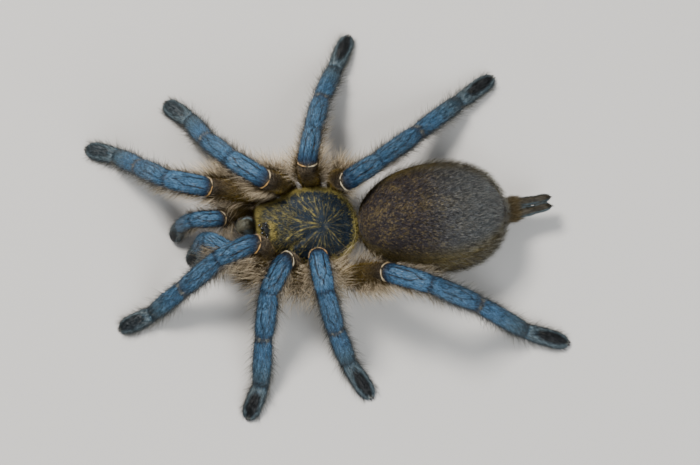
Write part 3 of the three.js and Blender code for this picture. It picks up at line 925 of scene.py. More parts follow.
# %% The short fur group
fur_group, sketch, given, gives = new_group(
    "short fur",
    {"Grain": "vector", "Tone": "number", "Streak Length": "number", "Streak Width": "number"},
    {"Height": "number", "Shade": "number"},
)
axes = sketch.add("ShaderNodeSeparateXYZ", {0: given["Grain"]}).outputs
lengthwise = sketch.math("DIVIDE", axes[0], given["Streak Length"])
crosswise = sketch.math("DIVIDE", axes[1], given["Streak Width"])
streaks = sketch.add("ShaderNodeCombineXYZ", {0: lengthwise, 1: crosswise, 2: axes[2]}).outputs[0]
fine = sketch.noise(streaks, 1.0, 3.0, 0.65)
broad = sketch.noise(streaks, 0.33, 1.0, 0.5)
both = sketch.plus(sketch.times(fine, 0.7), sketch.times(broad, 0.3))
sketch.tree.links.new(both, gives["Height"])
streaky = sketch.between(both, 0.34, 0.66, 0.12, 0.88)
own = sketch.times(sketch.minus(given["Tone"], 0.5), 1.1)
sketch.tree.links.new(sketch.math("ADD", streaky, own, clamp=True), gives["Shade"])

# %% [markdown]
# ### Markings of the legs
#
# Along a leg the colour runs from golden brown on the coxa and femur, over a cream ring at the knee, into
# ink blue and then steel blue, and fades to slate at the foot. The note "along" counts the segments from 0 at
# the root to 6 at the tip, so one colour ramp holds all of it. Patella and tibia have two bare lines along
# the back that close in a loop, and each foot has a black oval on top.

# %% The leg markings group
GOLDEN_BROWN = (0.112, 0.072, 0.007)
DARK_BROWN = (0.018, 0.010, 0.002)
INK = (0.004, 0.006, 0.011)
INK_BLUE = (0.012, 0.028, 0.056)
STEEL_BLUE = (0.038, 0.102, 0.180)
PALE_STEEL = (0.055, 0.128, 0.212)
GREY_BLUE = (0.048, 0.094, 0.132)
SLATE = (0.024, 0.036, 0.043)
PALE_SPOT = (0.18, 0.18, 0.15)
PALE_EDGE = (0.085, 0.115, 0.128)
BLACK = (0.004, 0.005, 0.006)

LEG_COLOURS = [
    (0.00, GOLDEN_BROWN), (1.10, GOLDEN_BROWN), (1.62, GOLDEN_BROWN), (1.88, DARK_BROWN),
    (2.00, INK), (2.02, INK), (2.05, INK_BLUE), (2.22, STEEL_BLUE), (2.86, PALE_STEEL),
    (2.965, STEEL_BLUE), (2.985, INK_BLUE), (3.005, INK), (3.03, STEEL_BLUE), (3.40, PALE_STEEL),
    (3.80, STEEL_BLUE), (3.96, INK_BLUE), (4.02, INK_BLUE), (4.07, STEEL_BLUE), (4.30, STEEL_BLUE),
    (4.70, GREY_BLUE), (4.98, SLATE), (5.03, GREY_BLUE), (5.25, SLATE), (5.90, SLATE), (5.97, PALE_SPOT),
]
leg_group, sketch, given, gives = new_group(
    "leg markings",
    {"Along": "number", "Crown": "number", "Flank": "number", "Shade": "number", "Pad": "number"},
    {"Color": "colour"},
)
along, crown, flank = given["Along"], given["Crown"], sketch.size(given["Flank"])
top = sketch.between(crown, 0.0, 0.35)
colour = sketch.ramp(sketch.math("DIVIDE", along, 6.0), [(stop / 6, value) for stop, value in LEG_COLOURS])


def stretch_of(start, full, fade, end):
    """1 on a stretch of the leg, with soft ends from start to full and from fade to end."""
    return sketch.times(sketch.between(along, start, full), sketch.between(along, fade, end, 1.0, 0.0))


def loop_lines(start, end):
    """Two lines along a segment's back that close in a loop near its end."""
    offset = sketch.times(sketch.minus(1.0, sketch.between(along, end - 0.28, end)), 0.46)
    line = sketch.between(sketch.size(sketch.minus(flank, offset)), 0.04, 0.12, 1.0, 0.0)
    return sketch.times(line, stretch_of(start, start + 0.1, end, end + 0.04), top)


back = sketch.times(sketch.between(crown, 0.3, 0.95, 0.0, 0.6), stretch_of(0.9, 1.5, 1.98, 2.0))
colour = sketch.mix(back, colour, DARK_BROWN)
bare = sketch.math("MAXIMUM", loop_lines(2.08, 2.88), sketch.times(loop_lines(3.10, 3.80), 0.7))
colour = sketch.mix(sketch.times(bare, 0.85), colour, INK)

spots = sketch.between(sketch.size(sketch.minus(flank, 0.5)), 0.12, 0.24, 1.0, 0.0)
wrist = sketch.times(stretch_of(3.945, 3.965, 4.005, 4.025), top, sketch.plus(sketch.times(spots, 0.7), 0.3))
colour = sketch.mix(wrist, colour, PALE_SPOT)

oval_long = sketch.math("DIVIDE", sketch.minus(along, 5.58), 0.36)
oval_wide = sketch.math("DIVIDE", flank, 0.62)
oval = sketch.plus(sketch.math("POWER", oval_long, 2.0), sketch.math("POWER", oval_wide, 2.0))
pad = sketch.times(sketch.between(oval, 0.7, 1.15, 1.0, 0.0), top, given["Pad"])
border = sketch.times(sketch.between(oval, 1.15, 1.8), sketch.between(along, 5.0, 5.1, 0.0, 0.75))
border = sketch.times(border, sketch.between(crown, -0.4, 0.0))
colour = sketch.mix(border, colour, PALE_EDGE)
colour = sketch.mix(pad, colour, BLACK)

# Painted shade: the sides and underside of the blue segments are darkened towards ink blue.
painted_underside_shade = sketch.times(sketch.between(crown, -0.35, 0.45, 0.80, 0.0), sketch.between(along, 1.9, 2.1))
colour = sketch.mix(painted_underside_shade, colour, INK_BLUE)
shade_out(sketch, colour, given["Shade"], gives, 0.22, 2.1)
print("leg colours:", len(LEG_COLOURS), "stops")

# %% [markdown]
# ### Markings of the abdomen
#
# The abdomen is dark brown velvet, strewn with small golden specks at the front and along a middle band. To
# the rear the hairs have grey-blue tips, and the flanks turn olive gold. Specks in clumps come from two noise
# textures: one gives their size, the other says where they crowd together.

# %% The abdomen markings group
UMBER = (0.016, 0.011, 0.013)
SPECK_GOLD = (0.125, 0.088, 0.028)
REAR_GREY = (0.125, 0.135, 0.135)
OLIVE = (0.118, 0.088, 0.020)

abdomen_group, sketch, given, gives = new_group(
    "abdomen markings",
    {"Along": "number", "Crown": "number", "Flank": "number", "Shade": "number", "Place": "vector"},
    {"Color": "colour"},
)
speck = sketch.noise(given["Place"], 2.6, 2.0, 0.6)
crowd = sketch.noise(given["Place"], 0.34, 1.0, 0.5)
band = sketch.between(sketch.size(given["Flank"]), 0.05, 0.32, 0.04, 0.0)
specks = sketch.plus(sketch.plus(speck, sketch.times(crowd, 0.30)), band)
colour = sketch.mix(sketch.between(specks, 0.64, 0.82, 0.0, 0.75), UMBER, SPECK_GOLD)
rear = sketch.between(sketch.plus(given["Along"], sketch.times(speck, 0.16)), 0.46, 0.98)
colour = sketch.mix(sketch.times(rear, 0.85), colour, REAR_GREY)
colour = sketch.mix(sketch.between(given["Crown"], 0.25, 0.70, 0.80, 0.0), colour, OLIVE)
colour = sketch.mix(sketch.between(given["Crown"], -0.7, -0.3, 0.8, 0.0), colour, UMBER)
shade_out(sketch, colour, given["Shade"], gives, 0.45, 1.7)

# %% [markdown]
# ### Markings of the carapace
#
# The plate is blue-black between the golden rays. Its margin and the head are dusted with golden hair.

# %% The carapace markings group
NAVY = (0.006, 0.014, 0.025)
RAY_GOLD = (0.29, 0.23, 0.055)
DUSTY_GOLD = (0.140, 0.118, 0.034)

carapace_group, sketch, given, gives = new_group(
    "carapace markings",
    {"Gold": "number", "Margin": "number", "Crown": "number", "Knob": "number", "Shade": "number",
     "Place": "vector"},
    {"Color": "colour"},
)
dust = sketch.noise(given["Place"], 0.9, 2.0, 0.6)
ahead = sketch.between(given["Crown"], 0.72, 0.93)
cap = sketch.times(sketch.between(given["Margin"], 0.36, 0.74), ahead, 0.14)
rim_gold = sketch.times(sketch.between(given["Margin"], 0.80, 0.96), sketch.minus(1.0, ahead), 0.60)
dusted = sketch.plus(sketch.math("MAXIMUM", cap, rim_gold), sketch.between(dust, 0.38, 0.70, 0.0, 0.30))
gilt = sketch.between(sketch.minus(given["Shade"], sketch.minus(0.98, dusted)), -0.10, 0.14)
colour = sketch.mix(gilt, NAVY, DUSTY_GOLD)
hairs = sketch.between(given["Shade"], 0.15, 0.75, 0.30, 1.0)
colour = sketch.mix(sketch.times(given["Gold"], hairs), colour, RAY_GOLD)
colour = sketch.mix(given["Knob"], colour, BLACK)
shade_out(sketch, colour, given["Shade"], gives, 0.60, 1.5)

# %% [markdown]
# ### Markings of the chelicerae and spinnerets
#
# The chelicerae are covered in olive-grey hair but for a bare patch on the outer side of each, whose pale
# blue is a painted sheen highlight. The spinnerets are golden brown at their thick root; their slim joints
# are brown with a grey-blue edge.

# %% The chelicera and spinneret markings groups
OLIVE_GREY = (0.090, 0.088, 0.062)
PAINTED_SHEEN_BLUE = (0.12, 0.17, 0.20)
ROOT_BROWN = (0.062, 0.040, 0.013)
FINGER_BROWN = (0.030, 0.023, 0.011)
FINGER_EDGE = (0.055, 0.078, 0.088)
SIDE_INPUTS = {"Along": "number", "Crown": "number", "Flank": "number", "Shade": "number"}

chelicera_group, sketch, given, gives = new_group("chelicera markings", SIDE_INPUTS, {"Color": "colour"})
# Painted sheen: the bare patch on the upper outer side of each chelicera is coloured pale blue as a
# highlight.
patch = sketch.times(
    sketch.between(sketch.size(given["Flank"]), 0.45, 0.70),
    sketch.between(given["Crown"], 0.05, 0.35),
    sketch.between(given["Along"], 0.34, 0.46),
    sketch.between(given["Along"], 0.86, 0.76),
)
colour = sketch.mix(patch, OLIVE_GREY, PAINTED_SHEEN_BLUE)
shade_out(sketch, colour, given["Shade"], gives, 0.35, 1.9)

spinneret_group, sketch, given, gives = new_group("spinneret markings", SIDE_INPUTS, {"Color": "colour"})
colour = sketch.mix(sketch.between(sketch.size(given["Flank"]), 0.55, 0.95), FINGER_BROWN, FINGER_EDGE)
colour = sketch.mix(sketch.between(given["Along"], 0.40, 0.30), colour, ROOT_BROWN)
shade_out(sketch, colour, given["Shade"], gives, 0.35, 1.8)
print("groups:", [tree.name for tree in bpy.data.node_groups])

# %% [markdown]
# ### Skin materials
#
# One skin, five materials: which one a face takes follows from the part it came from. The carapace gets the
# sixth. All of them read their notes, pass them to the groups, and let the short fur raise a fine bump.

# %% Skin materials
def notes_for(*names):
    """What feeds a group: each of its inputs is called like the note that it reads."""
    def inputs(sketch, shade):
        found = {name.title(): sketch.note(name, "Vector" if name == "place" else "Fac") for name in names}
        return {**found, "Shade": shade}
    return inputs


LEG_NOTES = notes_for("along", "crown", "flank", "pad")
ABDOMEN_NOTES = notes_for("along", "crown", "flank", "place")
SIDE_NOTES = notes_for("along", "crown", "flank")
SHELL_NOTES = notes_for("gold", "margin", "crown", "knob", "place")
LEG_STREAK, BODY_STREAK = (0.50, 0.11), (0.45, 0.16)
SKINS = {
    # name: markings, their notes, roughness, bump, length and width of the streaks, sheen
    "leg_skin": (leg_group, LEG_NOTES, 0.55, 0.7, LEG_STREAK, 0.06),
    "abdomen_skin": (abdomen_group, ABDOMEN_NOTES, 0.75, 0.6, BODY_STREAK, 0.15),
    "trunk_skin": (None, None, 0.8, 0.6, BODY_STREAK, 0.1),
    "chelicera_skin": (chelicera_group, SIDE_NOTES, 0.6, 0.5, BODY_STREAK, 0.1),
    "spinneret_skin": (spinneret_group, SIDE_NOTES, 0.6, 0.5, BODY_STREAK, 0.1),
    "shell_skin": (carapace_group, SHELL_NOTES, 0.62, 0.5, BODY_STREAK, 0.05),
}


def hairy_skin(name, group, inputs, roughness, bump, streak, sheen):
    """A material with short fur on it, and the shader's inputs."""
    material, sketch, shader = new_material(name)
    fur_inputs = {"Grain": sketch.note("grain", "Vector"), "Tone": 0.5,
                  "Streak Length": streak[0], "Streak Width": streak[1]}
    fur = use_group(sketch, fur_group, fur_inputs)
    bumped = sketch.add("ShaderNodeBump", {"Height": fur["Height"], "Strength": bump, "Distance": 0.12 * MM})
    sketch.tree.links.new(bumped.outputs["Normal"], shader["Normal"])
    shader["Roughness"].default_value = roughness
    shader["Sheen Weight"].default_value = sheen
    shader["Sheen Roughness"].default_value = 0.4
    if group:
        colour = use_group(sketch, group, inputs(sketch, fur["Shade"]))["Color"]
    else:
        colour = sketch.mix(fur["Shade"], DARK_BROWN, GOLDEN_BROWN)
    sketch.tree.links.new(colour, shader["Base Color"])
    return material, shader


skins = {name: hairy_skin(name, *looks) for name, looks in SKINS.items()}
shell_skin, shader = skins.pop("shell_skin")
shader["Specular IOR Level"].default_value = 0.3
carapace.data.materials.append(shell_skin)
for material, _ in skins.values():
    skin.data.materials.append(material)

# The black ovals are paler on some feet. Each corner of the skin belongs to one grid.
PALE_FEET = {"leg1_right": 0.35, "leg2_right": 0.30, "leg1_left": 0.6, "palp_right": 0.8, "palp_left": 0.8}
pads = [np.full(grid["along"].size, PALE_FEET.get(name, 1.0)) for name, grid in grids.items()]
set_number(skin, "pad", np.concatenate(pads)[nearest])
floor_material, sketch, shader = new_material("pale_floor")
shader["Base Color"].default_value = (0.62, 0.60, 0.57, 1)
shader["Roughness"].default_value = 0.9
floor.data.materials.append(floor_material)
print("materials:", [material.name for material in bpy.data.materials])

# %% [markdown]
# ## Eyes
#
# Eight eyes sit close together on a low black knob. Each is a clear, domed lens, so it must be smooth and
# glossy: the small bright reflections are what makes the head look alive. A ball with many sides and a coated
# black shader is enough, because nothing can be seen inside such a small eye.

# %% Eyes
def ball(name, centre, radius, rows=20, columns=32):
    """A smooth ball with poles to front and rear."""
    polar = np.linspace(0.03, math.pi - 0.03, rows)
    return make_object(name, *closed_grid(centre + rays_round(polar, turns(columns)) * radius))


eye_black, sketch, shader = new_material("eye_black")
shader["Base Color"].default_value = (0.004, 0.004, 0.006, 1)
shader["Roughness"].default_value = 0.05
shader["Coat Weight"].default_value = 1.0
shader["Coat Roughness"].default_value = 0.02
for node in EYES:
    low, high = [np.array(corner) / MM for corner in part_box(node)]
    lens = ball(f"{node}_lens", (low + high) / 2, (high - low).max() / 2)
    lens.data.materials.append(eye_black)
    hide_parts(node)
    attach(lens, "root")
print("eyes:", len(EYES))

# %% [markdown]
# ## Fangs and claws
#
# The fangs fold back under the head like two penknife blades. Each foot ends in two small hooks that show
# between the hairs. Both are polished, nearly black horn: a tapering tube bent along a curve serves for all.

# %% Fangs and claws
def cord(path, radii, columns):
    """Corners and triangles of a round cord along a path, with a radius for each of its points."""
    along = unit(np.gradient(path, axis=0))
    across = unit(np.cross(along, (0.31, 0.17, 0.93)))
    up = np.cross(across, along)
    angle = turns(columns)[None, :, None]
    ring = across[:, None] * np.sin(angle) + up[:, None] * np.cos(angle)
    return closed_grid(path[:, None] + ring * radii[:, None, None])


def horn(points, start_radius, end_radius, rows=20, columns=16):
    """A tapering cord along a curve from the first point to the last, drawn towards the middle one."""
    t = np.linspace(0, 1, rows)
    return cord(bent_line(t, *points), start_radius + (end_radius - start_radius) * t ** 1.3, columns)


FINE_BLOTCHES = 900.0                 # a noise scale in metres: spots of about 1 mm
horn_black, sketch, shader = new_material("black_horn")
streak = sketch.noise(sketch.add("ShaderNodeTexCoord").outputs["Object"], FINE_BLOTCHES)
colour = sketch.mix(streak, (0.008, 0.005, 0.004), (0.045, 0.022, 0.012))
sketch.tree.links.new(colour, shader["Base Color"])
shader["Roughness"].default_value = 0.22

for hand in HANDS:
    node = f"fang_{hand}"
    first, last = ends(node, 8)
    bend = cad_mesh(node)[0].mean(0) * 2 - (first + last) / 2
    fang = make_object(f"{node}_blade", *horn((first - (0, 0.4, -0.4), bend, last), 0.52, 0.05))
    fang.data.materials.append(horn_black)
    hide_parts(node)
    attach(fang, "root")

CLAW_LENGTH = 0.75


def claw(name, side):
    """One of the two hooks at the tip of a limb."""
    tip, ahead, up = (grids[name][key][-1] for key in ("centres", "along_line", "up"))
    root = tip - 0.35 * ahead + side * 0.28 * np.cross(ahead, up) + 0.15 * up
    point = root + CLAW_LENGTH * ahead - 0.32 * up
    point[2] = max(point[2], 0.08)
    return horn((root, root + 0.5 * ahead + 0.18 * up, point), 0.12, 0.02, 10, 8)


claws = make_object("claws", *together(claw(name, side) for name in limbs for side in (-1, 1)))
claws.data.materials.append(horn_black)
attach(claws, "root")
print("claws:", 2 * len(limbs))

# %% [markdown]
# ## Knee rings
#
# Where the femur ends, a narrow band of bare, cream and orange skin bulges out of the joint. It comes in two
# arcs that nearly meet on top of the knee. Painted on the skin it would blur away under the hair, so each arc
# is a thin cord laid on the joint.

# %% Lay the knee rings
RING_RADIUS = 0.13
RING_FROM, RING_TO = 5, 108           # degrees from the top of the knee
RING_POINTS = 28
ORANGE = (0.36, 0.20, 0.055)
BRIGHT_CREAM = (0.44, 0.37, 0.24)

arcs, tint = [], []
for name in limbs:
    grid = grids[name]
    row = int(np.abs(grid["along"][:, 0] - 2.0).argmin())
    for side in (-1, 1):
        degrees = np.linspace(RING_FROM, RING_TO, RING_POINTS)
        column = (side * degrees / 360 * COLUMNS) % COLUMNS
        first = column.astype(int)
        part = (column - first)[:, None]
        second = (first + 1) % COLUMNS
        wall = grid["points"][row, first] * (1 - part) + grid["points"][row, second] * part
        out = unit(grid["normals"][row, first] * (1 - part) + grid["normals"][row, second] * part)
        sideways = (degrees / RING_TO)[:, None]
        path = wall + RING_RADIUS * out + (0.40 * sideways - 0.15) * grid["along_line"][row]
        bulge = np.clip(np.sin(math.pi * np.linspace(0.04, 0.99, RING_POINTS)), 0, 1) ** 0.4
        lumps = 1 + 0.30 * np.sin(degrees * 0.13 + random.random() * 6)
        arcs.append(cord(path, RING_RADIUS * (0.75 if "palp" in name else 1.0) * bulge * lumps, 10))
        tint.append(np.full(len(arcs[-1][0]), random.random()))
rings = make_object("knee_rings", *together(arcs))
set_number(rings, "tint", np.concatenate(tint))
ring_skin, sketch, shader = new_material("ring_skin")
blotch = sketch.noise(sketch.add("ShaderNodeTexCoord").outputs["Object"], FINE_BLOTCHES)
ripe = sketch.plus(sketch.times(sketch.note("tint"), 0.6), sketch.times(blotch, 0.5))
colour = sketch.mix(sketch.between(ripe, 0.30, 0.80), BRIGHT_CREAM, ORANGE)
sketch.tree.links.new(colour, shader["Base Color"])
shader["Roughness"].default_value = 0.45
rings.data.materials.append(ring_skin)
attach(rings, "root")
print("knee rings:", 2 * len(limbs), "arcs")

# %% [markdown]
# ## Hair: how a tuft is made
#
# Each tuft is a thin, three-sided spike, rooted just under the skin and bent over towards the lie of the
# coat. Short velvet needs only a straight spike of three triangles; long hair gets one or two rings on the
# way so that it can bend. Blender's own hair would look finer still, but it can't be exported as mesh, and a
# mesh made with arrays is quick: all the tufts of a piece are worked out at once.

# %% Plant roots and grow tufts
PATCH = 0.003                         # how large one tuft's patch is on the coat's own map
ROOT_DEPTH = 0.04
FLAT_ON_FLOOR = 0.01                  # hairs that reach the floor are pressed flat onto it, at this height
SKIN_NEAR = 0.35                      # roots farther from the melted skin than this are dropped


def plant(grid, density, snap=True):
    """Random roots on a grid, moved onto the skin if snap is set. density is in tufts per mm2."""
    points = grid["points"]
    rows, columns = points.shape[:2]
    down = points[1:] - points[:-1]
    beside = np.roll(points, -1, axis=1) - points
    area = np.linalg.norm(np.cross(down, beside[:-1]), axis=-1)
    weight = (area * density(grid["along"][:-1], grid["angle"][:-1])).ravel()
    count = int(weight.sum())
    cell = random.choice(len(weight), count, p=weight / weight.sum())
    i, j = cell // columns, cell % columns
    u, v = random.random((2, count))
    k = (j + 1) % columns
    shares = [(i, j, (1 - u) * (1 - v)), (i + 1, j, u * (1 - v)), (i, k, (1 - u) * v), (i + 1, k, u * v)]

    def at(values):
        return sum(values[a, b] * (w[:, None] if values.ndim == 3 else w) for a, b, w in shares)

    roots = {"points": at(points), "normals": unit(at(grid["normals"])), "lie": unit(at(grid["lie"]))}
    roots["along"] = at(grid["along"])
    roots["angle"] = grid["angle"][i, j] + v * 2 * math.pi / columns
    roots["u"], roots["v"] = (i + u) / (rows - 1), (j + v) / columns
    layer = np.full(count, grid["layer"] if "layer" in grid else ZONES.index(grid["zone"]) * LAYER)
    roots["grain"] = np.stack([at(grid["length"]), roots["angle"] * at(grid["radius"]), layer], axis=1)
    for key in PLATE_KEYS:
        if key in grid:
            roots[key] = at(grid[key])
    if snap:
        hits = [skin_tree.find_nearest(Vector(point)) for point in roots["points"]]
        near = np.array([hit[3] < SKIN_NEAR for hit in hits])
        roots["points"] = np.array([hit[0] for hit in hits])
        roots["normals"] = np.array([hit[1] for hit in hits])
        roots = {key: value[near] for key, value in roots.items()}
    return roots


def spread(low, high, count):
    """Random numbers between low and high."""
    return low + (high - low) * random.random(count)


def grow(roots, length, width, rise, curl=0.5, rings=0, scatter=12, wild=0.0):
    """Tufts on roots. length and rise (degrees above the skin) are ranges, scatter is in degrees."""
    count = len(roots["points"])
    normal, lie = roots["normals"], roots["lie"]
    lie = unit(lie - (lie * normal).sum(1, keepdims=True) * normal)
    aside = np.cross(normal, lie)
    swing = np.radians(random.normal(0, scatter, count))[:, None]
    lie = np.cos(swing) * lie + np.sin(swing) * aside
    aside = np.cross(normal, lie)
    angle = np.radians(spread(*rise, count))[:, None]
    reach = spread(*length, count)[:, None]
    tone = random.random(count)
    place = roots["points"] - ROOT_DEPTH * normal
    edges = np.radians([90, 210, 330])[None, :, None]
    sections, tips = [], []
    steps = rings + 1
    for step in range(steps + 1):
        bend = angle * (1 - curl * step / steps)
        direction = np.cos(bend) * lie + np.sin(bend) * normal
        up = np.cross(aside, direction)
        radius = 0.5 * width * (1 - 0.55 * step / steps)
        if step == steps:
            sections.append(place[:, None])
        else:
            ring = aside[:, None] * np.cos(edges) + up[:, None] * np.sin(edges)
            sections.append(place[:, None] + ring * radius)
            place = place + direction * reach / steps
        tips.append(np.full(sections[-1].shape[1], step / steps))
    corners = np.concatenate(sections, axis=1)
    corners[..., 2] = np.maximum(corners[..., 2], FLAT_ON_FLOOR)
    faces = []
    for ring in range(rings):
        for a, b in ((0, 1), (1, 2), (2, 0)):
            low, high = ring * 3, ring * 3 + 3
            faces += [(low + a, low + b, high + b), (low + a, high + b, high + a)]
    end = rings * 3
    faces += [(end, end + 1, end + 3), (end + 1, end + 2, end + 3), (end + 2, end, end + 3)]
    tip = np.concatenate(tips)
    across = np.append(np.tile([0.0, 0.5, 1.0], rings + 1), 0.5)
    return {
        "roots": roots, "corners": corners, "faces": np.array(faces), "tip": tip, "across": across,
        "tone": tone, "wild": np.broadcast_to(wild, count).astype(float),
    }


def keep(batch, chosen):
    """Only the chosen tufts of a batch."""
    batch["roots"] = {key: value[chosen] for key, value in batch["roots"].items()}
    for key in ("corners", "tone", "wild"):
        batch[key] = batch[key][chosen]
    return batch


PLATE_KEYS = ("gold", "margin", "knob")
PLATE_SPARE, RIM_SPARE = 0.3, 1.2     # clearances in mm: round the carapace and below its margin
KNOB_TIPS, KNOB_PASSING = 3.6, 2.6    # from the middle of the eyes to the tips and to the hairs on their way
JAW_TIPS = 2.9                        # from the middle of a chelicera
COVER_DEPTH = 2.0                     # a tip hides a solid from above if it lies less than this below its top
LONG_HAIR = 1.5                       # only hairs longer than this are checked


def over_the_plate(points, spare=0.0):
    """Which points lie above or inside the carapace, seen from above."""
    away = levelled(points)[:, :2] - pit[:2]
    turn = np.arctan2(away[:, 0], -away[:, 1]) % (2 * math.pi)
    limit = np.interp(turn, np.append(plate_angle, 2 * math.pi), np.append(outline, outline[0]))
    return np.linalg.norm(away, axis=1) < limit + spare


seen_from_above = ["chelicera_right", "chelicera_left", "abdomen"]
seen_from_above += [f"{name}_{joint}" for name in limbs for joint in ("patella", "tibia")]
kept_clear = {node: (solid_tree(node), cad_mesh(node)[0].min(0), cad_mesh(node)[0].max(0))
              for node in seen_from_above}


def above_solid(node, points):
    """Which points lie above a solid, so that they would hide it from an eye overhead."""
    tree, low, high = kept_clear[node]
    found = np.all((points > low)[:, :2] & (points < high)[:, :2], axis=1)
    for i in np.flatnonzero(found):
        hit = tree.ray_cast(Vector((*points[i, :2], 40)), Vector((0, 0, -1)))[0]
        found[i] = hit is not None and points[i, 2] > hit[2] - COVER_DEPTH
    return found


jaw_middles = [grids[f"chelicera_{hand}"]["points"].mean((0, 1)) for hand in HANDS]


def near(points, centre, distance):
    """Which points lie near a centre, seen from above."""
    return np.linalg.norm((points - centre)[:, :2], axis=1) < distance


def clear_of_plate(batch, own):
    """Leave out long tufts that would lie on the carapace, jaws, abdomen or the blue of another leg."""
    tip, bend = batch["corners"][:, -1], batch["corners"][:, -3]
    hides = over_the_plate(tip, PLATE_SPARE) & (levelled(tip)[:, 2] > rim - RIM_SPARE)
    hides |= near(tip, knob_middle, KNOB_TIPS)
    for share in (0.3, 0.5, 0.7, 0.85):
        hides |= near(batch["roots"]["points"] * (1 - share) + tip * share, knob_middle, KNOB_PASSING)
    for jaw in jaw_middles:
        hides |= near(tip, jaw, JAW_TIPS)
    hides |= tip[:, 2] > grids[own]["points"][..., 2].max() + 0.3
    for node in kept_clear:
        if not (node.startswith(own) and batch["roots"]["along"].mean() > 2):
            hides |= above_solid(node, tip) | above_solid(node, bend)
    return keep(batch, ~hides)


NOTE_KEYS = ("along", "crown", "flank", "tip", "tone", "wild", "pad", *PLATE_KEYS)
triangle_counts = []


def coat_piece(name, batches, material, charts=1):
    """One coat object from batches of tufts. Each batch may carry the number of its chart on the map."""
    surfaces, maps, places, grains = [], [], [], []
    values = {key: [] for key in NOTE_KEYS}
    for batch in batches:
        roots = batch["roots"]
        tufts, size = batch["corners"].shape[:2]
        index = batch["faces"][None] + (np.arange(tufts) * size)[:, None, None]
        surfaces.append((batch["corners"].reshape(-1, 3), index.reshape(-1, 3)))
        chart = batch.get("chart", 0)
        u = 0.004 + 0.99 * roots["u"]
        v = (chart + 0.01 + 0.97 * roots["v"]) / charts
        map_u = u[:, None] + (batch["across"][None] - 0.5) * PATCH
        map_v = v[:, None] + (batch["tip"][None] - 0.5) * PATCH
        maps.append(np.stack([map_u, map_v], -1).reshape(-1, 2))
        notes = {"along": roots["along"], "crown": np.cos(roots["angle"]), "flank": np.sin(roots["angle"]),
                 "tone": batch["tone"], "wild": batch["wild"], "pad": np.full(tufts, batch.get("pad", 1.0))}
        notes.update({key: roots.get(key, np.zeros(tufts)) for key in PLATE_KEYS})
        for key, value in notes.items():
            values[key].append(np.repeat(value, size))
        values["tip"].append(np.tile(batch["tip"], tufts))
        places.append(np.repeat(roots["points"], size, axis=0))
        grains.append(np.repeat(roots["grain"], size, axis=0))
    corners, faces = together(surfaces)
    coat = make_object(name, corners, faces)
    for key, value in values.items():
        set_number(coat, key, np.concatenate(value))
    set_vector(coat, "place", np.vstack(places))
    set_vector(coat, "grain", np.vstack(grains))
    uv = coat.data.uv_layers.new(name="OFBake")
    uv.data.foreach_set("uv", np.vstack(maps)[faces.ravel()].astype(np.float32).ravel())
    coat.data.materials.append(material)
    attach(coat, "root")
    triangle_counts.append(len(faces))
    print(name, len(faces), "triangles")


# %% [markdown]
# ## Hair colours
#
# A tuft takes the marking of the place where it is rooted, varied a little from tuft to tuft and paler
# towards its tip. Long "wild" hairs, such as the fans round the femora, run from their own root colour to
# their own tip colour instead.

# %% Hair materials
hair_group, sketch, given, gives = new_group(
    "hair colour",
    {"Marking": "colour", "Tip": "number", "Tone": "number", "Wild": "number", "Wild Root": "colour",
     "Wild Tip": "colour"},
    {"Color": "colour"},
)
fade = sketch.between(given["Tip"], 0.0, 1.0, 0.5, 1.75)
own = sketch.add("ShaderNodeVectorMath", {0: given["Marking"], "Scale": fade}, operation="SCALE").outputs[0]
paler = sketch.times(sketch.between(given["Tip"], 0.12, 0.85), sketch.between(given["Tone"], 0.0, 0.9))
wild = sketch.mix(paler, given["Wild Root"], given["Wild Tip"])
sketch.tree.links.new(sketch.mix(given["Wild"], own, wild), gives["Color"])

FAN_ROOT = (0.048, 0.030, 0.006)
FAN_TIP = (0.95, 0.77, 0.52)
FRINGE_ROOT = (0.040, 0.042, 0.040)
FRINGE_TIP = (0.42, 0.38, 0.29)
GREY_TIP = (0.38, 0.37, 0.31)
CREAM_TIP = (0.78, 0.64, 0.22)
HAIR_SHINE = 0.22
HAIRS = {
    # name: markings, their notes, streaks, wild root and tip (two: at the femur and beyond), roughness
    "leg_hair": (leg_group, LEG_NOTES, LEG_STREAK, (FAN_ROOT, FRINGE_ROOT), (FAN_TIP, FRINGE_TIP), 0.42),
    "abdomen_hair": (abdomen_group, ABDOMEN_NOTES, BODY_STREAK, (UMBER,), (GREY_TIP,), 0.55),
    "shell_hair": (carapace_group, SHELL_NOTES, BODY_STREAK, (RAY_GOLD,), (CREAM_TIP,), 0.5),
    "mouth_hair": (chelicera_group, SIDE_NOTES, BODY_STREAK, (DARK_BROWN,), (SPECK_GOLD,), 0.45),
    "finger_hair": (spinneret_group, SIDE_NOTES, BODY_STREAK, (GOLDEN_BROWN,), (GREY_TIP,), 0.5),
}


def wild_colour(sketch, near, far=None):
    """One colour, or one that changes from the femur to the rest of the leg."""
    if far is None:
        return (*near, 1)
    return sketch.mix(sketch.between(sketch.note("along"), 2.2, 3.8), near, far)


def hair_material(name, group, inputs, streak, wild_root, wild_tip, roughness):
    """A material for tufts: markings from a group, then the fade from root to tip."""
    material, sketch, shader = new_material(name)
    fur_inputs = {"Grain": sketch.note("grain", "Vector"), "Tone": sketch.note("tone"),
                  "Streak Length": streak[0], "Streak Width": streak[1]}
    shade = use_group(sketch, fur_group, fur_inputs)["Shade"]
    marking = use_group(sketch, group, inputs(sketch, shade))["Color"]
    wild_inputs = {"Marking": marking, "Tip": sketch.note("tip"), "Tone": sketch.note("tone"),
                   "Wild": sketch.note("wild"), "Wild Root": wild_colour(sketch, *wild_root),
                   "Wild Tip": wild_colour(sketch, *wild_tip)}
    sketch.tree.links.new(use_group(sketch, hair_group, wild_inputs)["Color"], shader["Base Color"])
    shader["Roughness"].default_value = roughness
    shader["Specular IOR Level"].default_value = HAIR_SHINE
    return material


hairs = {name: hair_material(name, *looks) for name, looks in HAIRS.items()}

